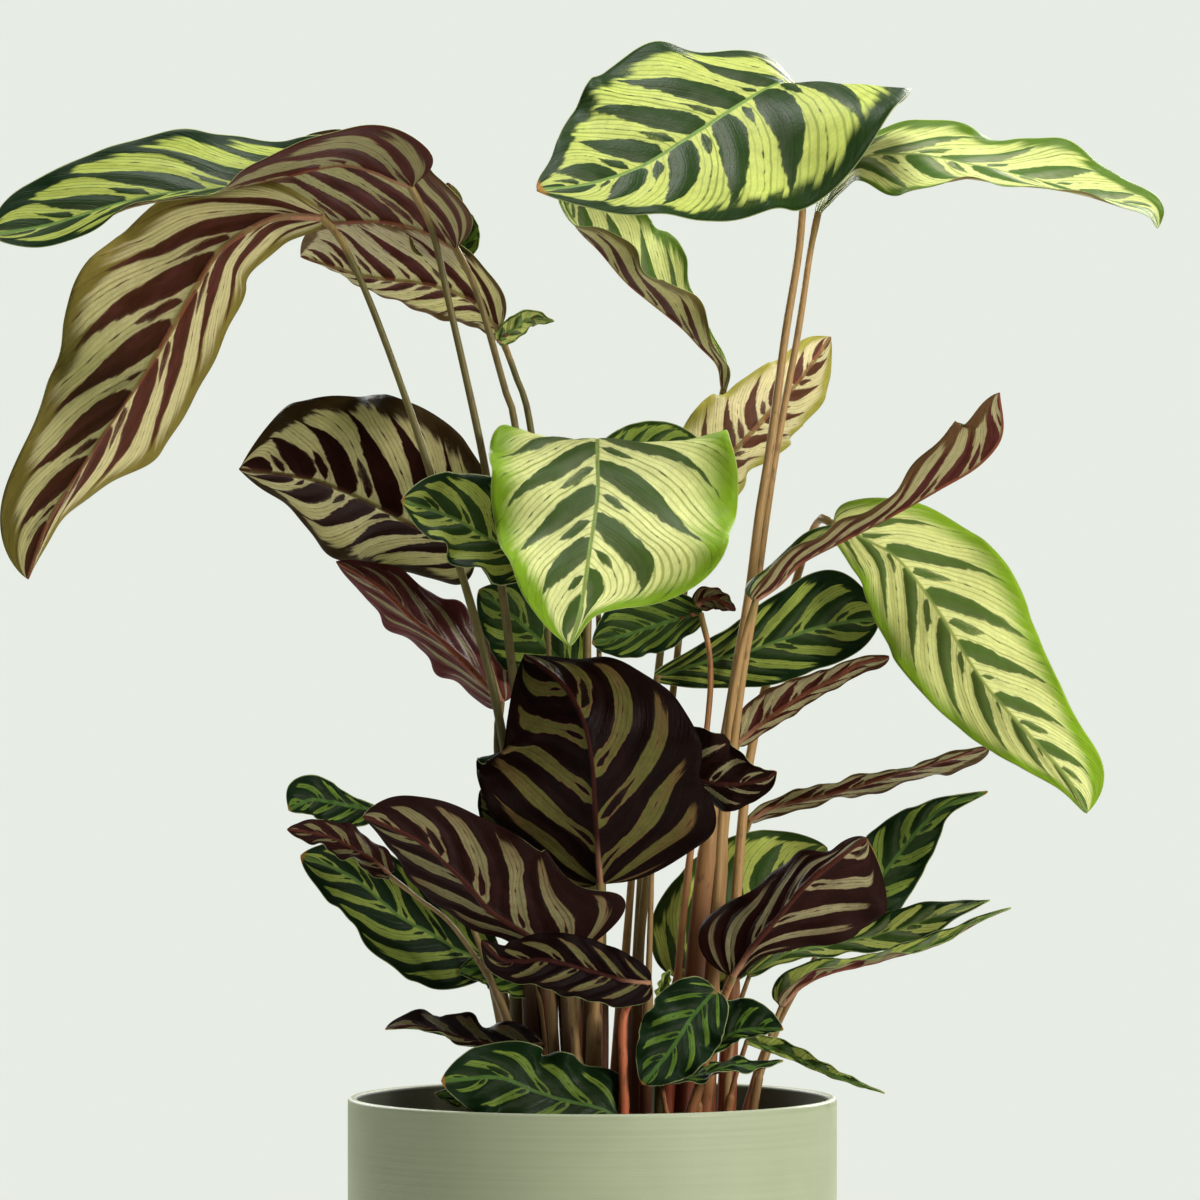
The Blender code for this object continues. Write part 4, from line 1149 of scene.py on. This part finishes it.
                (134, -16, 411), (150, -18, 421), (158, -20, 432), (157, -20, 448)),
         lobe=0.5, ripple=(5.0, 4.0, 0.0),
         halves=((26, 16, 12, 12, 16, 22), (12, 12, 12, 13, 21, 34, 50)),
         left=(-55, -60, -65, -60, -60), right=(130, 125, 120, 125, 148, 158, 160),
         stalk=((44, -6, 157), (48, -6, 240), (52, -5, 310), (57, -4, 345)),
         girth=0.9, tint=(0.70, 0.20),
         marks=6, phase=0.10, bold=0.4, sweep=2.4, look=(0.70, 0.45, 0.10, 0.60)),
    Leaf("leaf_right_bright",
         spine=((94, 15, 397), (100, 14, 395), (108, 11, 391), (118, 7, 385), (128, 2, 373), (136, -3, 361),
                (145, -8, 346), (153, -13, 334), (164, -19, 321), (172, -23, 312), (183, -28, 299),
                (190, -30, 286)),
         ripple=(7.0, 3.0, 0.0),
         halves=((24, 28, 32, 30, 28, 30, 52), (12, 20, 26, 23, 21, 16, 10)),
         left=(-5, -8, -10, -10), right=(-20, -20, -20, -15),
         stalk=((52, 22, 157), (56, 31, 240), (60, 38, 290), (64, 42, 315), (70, 42, 340), (76, 40, 362),
                (81, 38, 378), (86, 32, 394), (90, 22, 400)),
         girth=1.1, tint=(0.70, 0.05),
         marks=6.3, phase=0.50, bold=0.19, sweep=1.7, look=(1.00, 0.00, 1.00, 0.20)),
    Leaf("leaf_right_green",
         spine=((25, 28, 338), (46, 28, 344), (62, 28, 348), (76, 28, 353), (92, 28, 358), (113, 27, 361)),
         ripple=(4.0, 3.0, 0.0),
         halves=((4, 6, 10, 15, 22, 36, 48), (6, 10, 13, 16, 19, 25, 34)),
         left=(0,), right=(-15,),
         stalk=((8, 32, 157), (14, 34, 240), (20, 33, 310)),
         girth=0.9, tint=(0.60, 0.25),
         marks=5.2, phase=0.80, bold=0.41, sweep=1.9, look=(0.28, 0.85, 0.00, 0.35)),
    Leaf("leaf_right_thin", faces="under",
         spine=((62, 50, 281), (71, 48, 286), (85, 42, 290), (104, 32, 295), (123, 22, 301), (139, 12, 306),
                (154, 2, 311)),
         halves=((4, 4, 8, 6, 3, 7, 8), (14, 8, 10, 9, 15, 16, 28)),
         left=(35, 50, 60, 50), right=(-60, -60, -60, -50),
         stalk=((44, 42, 157), (50, 54, 220), (58, 54, 266)),
         girth=0.8, tint=(0.60, 0.20),
         marks=6, phase=0.40, bold=0.33, sweep=2.4, look=(0.45, 0.40, 0.10, 0.50)),
    Leaf("leaf_low_right_dark", faces="under",
         spine=((54, -28, 223), (62, -31, 235), (72, -35, 247), (82, -39, 259), (94, -42, 269),
                (105, -41, 277)),
         ripple=(5.0, 3.0, 0.0),
         halves=((30, 32, 20, 24, 20, 13, 32), (3, 5, 15, 27, 36, 52, 100)),
         left=(-20, -50, -60, -60), right=(-15, -15, -20, -25),
         stalk=((42, -20, 157), (45, -21, 185), (50, -25, 212)),
         tint=(0.80, 0.20),
         marks=3.8, phase=0.15, bold=0.45, sweep=1.5, look=(0.32, 0.85, 0.00, 0.40)),
]

# Small low leaves: in the frame the blade and its stalk are one node
SMALL_LEAVES = [
    Leaf("small_leaf_01",
         spine=((-8, 4, 340), (-18, 3, 350), (-30, 1, 361), (-44, -2, 372)),
         halves=((17,), (17,)),
         left=(0,), right=(0,),
         stalk=((-7, 5, 157), (-7, 6, 250), (-6, 6, 325)),
         girth=0.7, tint=(0.40, 0.30),
         marks=4, phase=0.35, bold=0.42, look=(0.22, 0.75, 0.00, 0.20)),
    Leaf("small_leaf_02", faces="under",
         spine=((-19, -34, 197), (-30, -38, 197), (-47, -42, 199), (-63, -45, 204), (-71, -46, 205),
                (-79, -47, 204)),
         halves=((4,), (16,)),
         left=(80,), right=(-60,),
         stalk=((-14, -32, 157), (-15, -33, 180)),
         girth=0.6, tint=(0.80, 0.40),
         marks=4, phase=0.15, bold=0.42, look=(0.10, 0.95, 0.00, 0.20)),
    Leaf("small_leaf_03",
         spine=((12, -58, 170), (3, -61, 175), (-10, -63, 178), (-22, -66, 182), (-36, -68, 187),
                (-57, -72, 186)),
         ripple=(14.0, 4.0, 0.0),
         halves=((23,), (22, 18, 18, 20)),
         left=(25, 25, 20, 15), right=(-35, -30, -25, -20),
         stalk=((6, -48, 157), (6, -54, 165)),
         girth=0.6, tint=(0.80, 0.40),
         marks=4.5, phase=0.55, bold=0.49, look=(0.14, 0.95, 0.00, 0.50)),
    Leaf("small_leaf_04", faces="under",
         spine=((26, -20, 296), (40, -22, 298), (54, -24, 297), (66, -25, 299), (71, -26, 302)),
         ripple=(20.0, 2.0, 0.3),
         halves=((20, 22, 16, 12), (12, 14, 12, 10)),
         left=(-20, 10, 40), right=(-30, -50, 20),
         stalk=((20, -12, 157), (22, -16, 230), (24, -19, 288)),
         girth=0.7, tint=(0.60, 0.40),
         marks=4, phase=0.25, bold=0.48, look=(0.34, 0.95, 0.00, 0.60)),
    Leaf("small_leaf_05",
         spine=((34, 32, 219), (50, 38, 240), (69, 43, 257), (93, 49, 270)),
         halves=((25,), (22,)),
         left=(0,), right=(0,),
         stalk=((28, 32, 157), (30, 32, 190)),
         girth=0.8, tint=(0.60, 0.40),
         marks=4.5, phase=0.75, bold=0.33, look=(0.50, 0.60, 0.10, 0.20)),
    Leaf("small_leaf_06",
         spine=((96, 28, 240), (108, 27, 252), (120, 26, 268), (130, 25, 280), (138, 23, 287),
                (155, 20, 293)),
         halves=((15, 15, 14, 11, 5, 4), (14, 14, 12, 10, 5, 4)),
         left=(0,), right=(0,),
         stalk=((58, 24, 157), (68, 28, 190), (83, 30, 220)),
         girth=0.7, tint=(0.60, 0.40),
         marks=5, phase=0.45, bold=0.44, sweep=1.8, look=(0.18, 0.85, 0.00, 0.30)),
    Leaf("small_leaf_07",
         spine=((61, 10, 222), (77, 12, 230), (96, 13, 234), (116, 13, 238), (135, 12, 245), (155, 8, 251)),
         ripple=(3.0, 3.0, 0.0),
         halves=((6, 6, 8, 14, 14, 6), (6, 6, 8, 14, 14, 6)),
         left=(-60,), right=(60,),
         stalk=((52, 4, 157), (53, 7, 185), (57, 10, 208)),
         girth=0.6, tint=(0.60, 0.30),
         marks=5, phase=0.20, bold=0.42, sweep=2.0, look=(0.60, 0.50, 0.00, 0.80)),
    Leaf("small_leaf_08",
         spine=((73, -10, 211), (81, -11, 219), (93, -12, 225), (112, -13, 229), (131, -14, 235),
                (151, -14, 245), (162, -13, 249)),
         ripple=(3.0, 3.0, 0.0),
         halves=((22, 12, 4, 6, 7, 5, 4), (8, 5, 3, 5, 6, 4, 3)),
         left=(-50, -55, -60, -60), right=(130, 110, 80, 60),
         stalk=((60, -12, 157), (64, -11, 180), (70, -10, 202)),
         girth=0.6, tint=(0.60, 0.30),
         marks=5, phase=0.60, bold=0.34, sweep=2.2, look=(0.50, 0.30, 0.00, 0.90)),
    Leaf("small_leaf_09",
         spine=((47, -50, 219), (38, -54, 209), (30, -58, 197), (19, -62, 184)),
         ripple=(12.0, 3.5, 0.0),
         halves=((12, 14, 14, 14), (14, 15, 16, 16)),
         left=(0,), right=(0,),
         stalk=((32, -40, 157), (42, -42, 185), (48, -44, 212)),
         girth=0.7, tint=(0.80, 0.30),
         marks=4.5, phase=0.35, bold=0.5, look=(0.05, 1.00, 0.00, 0.60)),
    Leaf("small_leaf_10",
         spine=((42, -38, 194), (56, -42, 203), (73, -46, 204)),
         halves=((13,), (3,)),
         left=(-20,), right=(20,),
         stalk=((40, -29, 157), (41, -34, 180)),
         girth=0.6, tint=(0.80, 0.30),
         marks=4, phase=0.10, bold=0.5, look=(0.06, 1.00, 0.00, 0.60)),
    Leaf("small_leaf_11",
         spine=((59, -30, 199), (77, -33, 193), (92, -36, 186), (112, -40, 179)),
         ripple=(2.0, 3.0, 0.0),
         halves=((4,), (1,)),
         left=(0, 40, 60), right=(0, -20, -40),
         stalk=((50, -23, 157), (54, -26, 180)),
         girth=0.6, tint=(0.80, 0.30),
         marks=4, phase=0.50, bold=0.36, look=(0.35, 0.60, 0.00, 0.50)),
    Leaf("small_leaf_12",
         spine=((26, -48, 184), (40, -48, 187), (52, -48, 190), (62, -47, 190), (73, -45, 192)),
         halves=((8,), (6,)),
         left=(-70,), right=(70,),
         stalk=((32, -42, 157), (28, -46, 174)),
         girth=0.6, tint=(0.80, 0.30),
         marks=4, phase=0.70, bold=0.5, look=(0.04, 1.00, 0.00, 0.60)),
    Leaf("small_leaf_13",
         spine=((-22, -30, 384), (-39, -32, 391), (-49, -34, 397), (-60, -37, 402), (-73, -42, 406)),
         halves=((20,), (22,)),
         left=(45, 45, 45, 40), right=(-30, -25, -20, -15),
         stalk=((-8, -14, 157), (-12, -17, 260), (-16, -22, 330), (-18, -27, 370)),
         girth=0.7, tint=(0.40, 0.30),
         marks=4.5, phase=0.25, bold=0.38, look=(0.36, 0.80, 0.00, 0.20)),
    Leaf("small_leaf_14", faces="under",
         spine=((57, 25, 312), (68, 25, 321), (81, 23, 330), (94, 20, 337), (104, 17, 343), (116, 13, 346)),
         ripple=(5.0, 3.0, 0.0),
         halves=((10, 10, 9, 6, 5, 4, 6), (6, 4, 5, 4, 5, 8, 18)),
         left=(15,), right=(-30,),
         stalk=((34, 26, 157), (43, 26, 220), (51, 25, 290)),
         girth=0.7, tint=(0.60, 0.20),
         marks=5.5, phase=0.85, bold=0.34, sweep=2.2, look=(0.45, 0.40, 0.05, 0.60)),
    Leaf("small_leaf_15",
         spine=((-84, -16, 287), (-96, -18, 289), (-108, -20, 291), (-117, -22, 287)),
         ripple=(3.0, 2.0, 0.0),
         halves=((8,), (2, 3, 7, 13, 20)),
         left=(10,), right=(-15,),
         stalk=((-30, -8, 157), (-38, -8, 216), (-58, -12, 266), (-74, -15, 281)),
         girth=0.6, tint=(0.50, 0.40),
         marks=4, phase=0.15, bold=0.46, look=(0.10, 1.00, 0.00, 0.90)),
    Leaf("small_leaf_16", faces="under",
         spine=((-78, -30, 262), (-88, -31, 270), (-102, -33, 277), (-117, -36, 280)),
         halves=((8,), (9,)),
         left=(60, 60, 50), right=(-40,),
         stalk=((-24, -14, 157), (-33, -15, 206), (-52, -22, 240), (-68, -28, 254)),
         girth=0.6, tint=(0.50, 0.40),
         marks=4.5, phase=0.45, bold=0.46, look=(0.14, 0.80, 0.00, 0.60)),
]

# Small pieces of growth that the frame has no node for
EXTRA_LEAVES = [
    Leaf("tip_behind_centre",
         spine=((4, 20, 418), (14, 22, 424), (28, 25, 428), (44, 28, 428)),
         ripple=(3.0, 2.0, 0.0),
         halves=((11,), (14,)),
         left=(0,), right=(0,),
         stalk=((4, 20, 157), (4, 20, 260), (2, 20, 400)),
         girth=0.7,
         marks=5, phase=0.20, look=(0.20, 0.70, 0.10, 0.30)),
    Leaf("left_under_curl",
         spine=((-37, 22, 469), (-31, 20, 474), (-24, 18, 478), (-15, 16, 477)),
         ripple=(3.0, 2.0, 0.0),
         halves=((4,), (4,)),
         left=(-20, 10, 40), right=(-30, -40, -50),
         stalk=(),
         marks=3, phase=0.30, bold=0.20, look=(0.66, 0.40, 0.10, 0.90)),
    Leaf("left_inner_lobe", faces="under",
         spine=((-64, 30, 503), (-62, 30, 511), (-58, 30, 519), (-56, 30, 526), (-57, 30, 532)),
         ripple=(2.0, 2.0, 0.0),
         halves=((10,), (8,)),
         left=(10,), right=(-30,),
         stalk=(),
         marks=3, phase=0.10, bold=0.50, look=(0.00, 0.40, 0.45, 0.40)),
    Leaf("left_inner_lobe_green",
         spine=((-51, 34, 504), (-50, 34, 511), (-49, 34, 521)),
         ripple=(2.0, 2.0, 0.0),
         halves=((4,), (5,)),
         left=(0,), right=(0,),
         stalk=(),
         marks=3, phase=0.60, look=(0.10, 0.80, 0.20, 0.20)),
    Leaf("behind_centre_curl", faces="under",
         spine=((41, 18, 366), (45, 16, 369), (50, 15, 368), (56, 14, 364)),
         ripple=(3.0, 2.0, 0.0),
         halves=((4,), (5,)),
         left=(30,), right=(-40,),
         stalk=(),
         marks=3, phase=0.20, look=(0.10, 0.60, 0.00, 0.90)),
    Leaf("low_right_frill",
         spine=((26, -58, 166), (40, -60, 168), (52, -60, 167), (66, -57, 166)),
         ripple=(25.0, 3.0, 0.0),
         halves=((9,), (4,)),
         left=(80, 75, 80), right=(-20,),
         stalk=(),
         marks=5, phase=0.20, bold=0.50, look=(0.04, 1.00, 0.00, 0.60)),
    Leaf("low_right_bud",
         spine=((26, -34, 212), (27, -34, 217), (28, -34, 222), (30, -34, 226)),
         ripple=(2.0, 2.0, 0.0),
         halves=((3.4,), (3.4,)),
         left=(50,), right=(50,),
         stalk=((26, -30, 157), (26, -32, 190), (26, -34, 206)),
         girth=0.7, tint=(0.30, 0.00),
         marks=3, phase=0.20, look=(0.60, 0.20, 0.40, 0.40)),
    Leaf("low_left_behind", faces="under",
         spine=((-22, -22, 267), (-30, -24, 277), (-37, -25, 287), (-43, -26, 295)),
         halves=((9,), (9,)),
         left=(10,), right=(-20,),
         stalk=((-14, -12, 157), (-16, -16, 220), (-19, -20, 256)),
         girth=0.6, tint=(0.60, 0.40),
         marks=5, phase=0.40, look=(0.20, 0.80, 0.00, 0.30)),
    Leaf("low_left_tucked",
         spine=((-22, -6, 218), (-32, -6, 222), (-42, -6, 225), (-52, -6, 224)),
         halves=((7,), (8,)),
         left=(20,), right=(-30,),
         stalk=((-16, -4, 157), (-18, -5, 190), (-20, -6, 210)),
         girth=0.6, tint=(0.60, 0.40),
         marks=5, phase=0.10, look=(0.10, 0.90, 0.00, 0.20)),
    Leaf("low_left_fallen",
         spine=((-18, -52, 172), (-32, -54, 175), (-46, -55, 178), (-60, -56, 180)),
         halves=((6,), (7,)),
         left=(30,), right=(-40,),
         stalk=((-12, -46, 157), (-14, -49, 164)),
         girth=0.6, tint=(0.60, 0.40),
         marks=5, phase=0.30, look=(0.08, 0.90, 0.00, 0.20)),
]


def make_floor():
    """A round pale floor, level with the pot's foot."""
    turns = [2 * pi * i / FLOOR_STEPS for i in range(FLOOR_STEPS)]
    ring = [(FLOOR_RADIUS * cos(turn), FLOOR_RADIUS * sin(turn), 0.0) for turn in turns]
    mesh = bpy.data.meshes.new("studio_floor")
    mesh.from_pydata(ring, [], [tuple(range(FLOOR_STEPS))])
    floor = new_piece("studio_floor", mesh, [floor_finish()])


def make_light(name, place, width, power, colour):
    """A round soft light that points at the middle of the leaves."""
    data = bpy.data.lights.new(name, "AREA")
    data.shape = "DISK"
    data.size = width
    data.energy = power
    data.color = colour
    light = bpy.data.objects.new(name, data)
    light.location = place
    aim = Vector(LIGHT_TARGET) - Vector(place)
    light.rotation_euler = aim.to_track_quat("-Z", "Y").to_euler()
    bpy.context.scene.collection.objects.link(light)


def light_studio():
    """Four lights, and a pale surround that lights the plant only faintly."""
    make_light("key_front_right", (1.5, -1.2, 1.0), 0.6, 38.0, (1.0, 0.98, 0.95))
    make_light("soft_top", (0.1, 0.05, 1.7), 0.8, 28.0, (1.0, 1.0, 1.0))
    make_light("edge_back_left", (-0.9, 1.6, 1.2), 0.9, 38.0, (0.98, 1.0, 0.96))
    make_light("edge_back_right", (0.9, 1.7, 1.2), 0.9, 40.0, (1.0, 1.0, 0.96))
    world = bpy.data.worlds.new("pale_studio")
    world.use_nodes = True
    world.node_tree.nodes.clear()
    graph = Graph(world.node_tree)
    seen = graph.node("ShaderNodeLightPath")
    soft = graph.node("ShaderNodeBackground", {}, {"Color": (0.86, 0.90, 0.86, 1.0), "Strength": 0.09})
    pale = graph.node("ShaderNodeBackground", {}, {"Color": (0.80, 0.84, 0.78, 1.0), "Strength": 1.0})
    both = graph.node("ShaderNodeMixShader", {}, {0: seen, 1: soft, 2: pale})
    graph.node("ShaderNodeOutputWorld", {}, {"Surface": both})
    bpy.context.scene.world = world


def place_camera():
    """A long lens in front, level with the middle of the leaves."""
    data = bpy.data.cameras.new("front_camera")
    data.sensor_width = SENSOR_WIDTH
    data.lens = CAMERA_LENS
    camera = bpy.data.objects.new("front_camera", data)
    camera.location = CAMERA_PLACE
    camera.rotation_euler = (pi / 2, 0.0, 0.0)
    bpy.context.scene.collection.objects.link(camera)
    bpy.context.scene.camera = camera


def ride_root(piece, slot, *nodes):
    """Lets a piece ride with the pot, and hides the frame's nodes that it stands for."""
    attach(piece, "root")
    if nodes:
        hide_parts(*nodes)


def grow_leaf(leaf, finishes, tree, grid, blade_nodes=(), stalk_nodes=()):
    """A blade and its stalk, each with the frame's nodes that it stands for."""
    upper, under, stalk_skin = finishes
    blade = make_blade(leaf, upper, under, *grid)
    ride_root(blade, BLADE_SLOTS[leaf.faces], *blade_nodes)
    if leaf.stalk:
        ride_root(make_stalk(leaf, tree, stalk_skin), "stalk", *stalk_nodes)


def main():
    finishes = (upper_finish(), under_finish(), stalk_finish())
    tree = stalk_tree()
    ride_root(make_pot(pot_finish()), "pot_glaze", "pot")
    ride_root(make_mix(mix_finish()), "potting_mix", "potting_mix")
    for leaf in LEAVES:
        grow_leaf(leaf, finishes, tree, LARGE_GRID, [leaf.name + "_blade"], [leaf.name + "_stalk"])
    for leaf in SMALL_LEAVES:
        grow_leaf(leaf, finishes, tree, SMALL_GRID, [leaf.name])
    for leaf in EXTRA_LEAVES:
        grow_leaf(leaf, finishes, tree, SMALL_GRID)
    make_floor()
    light_studio()
    place_camera()
    bpy.context.scene.view_settings.view_transform = "Standard"


main()
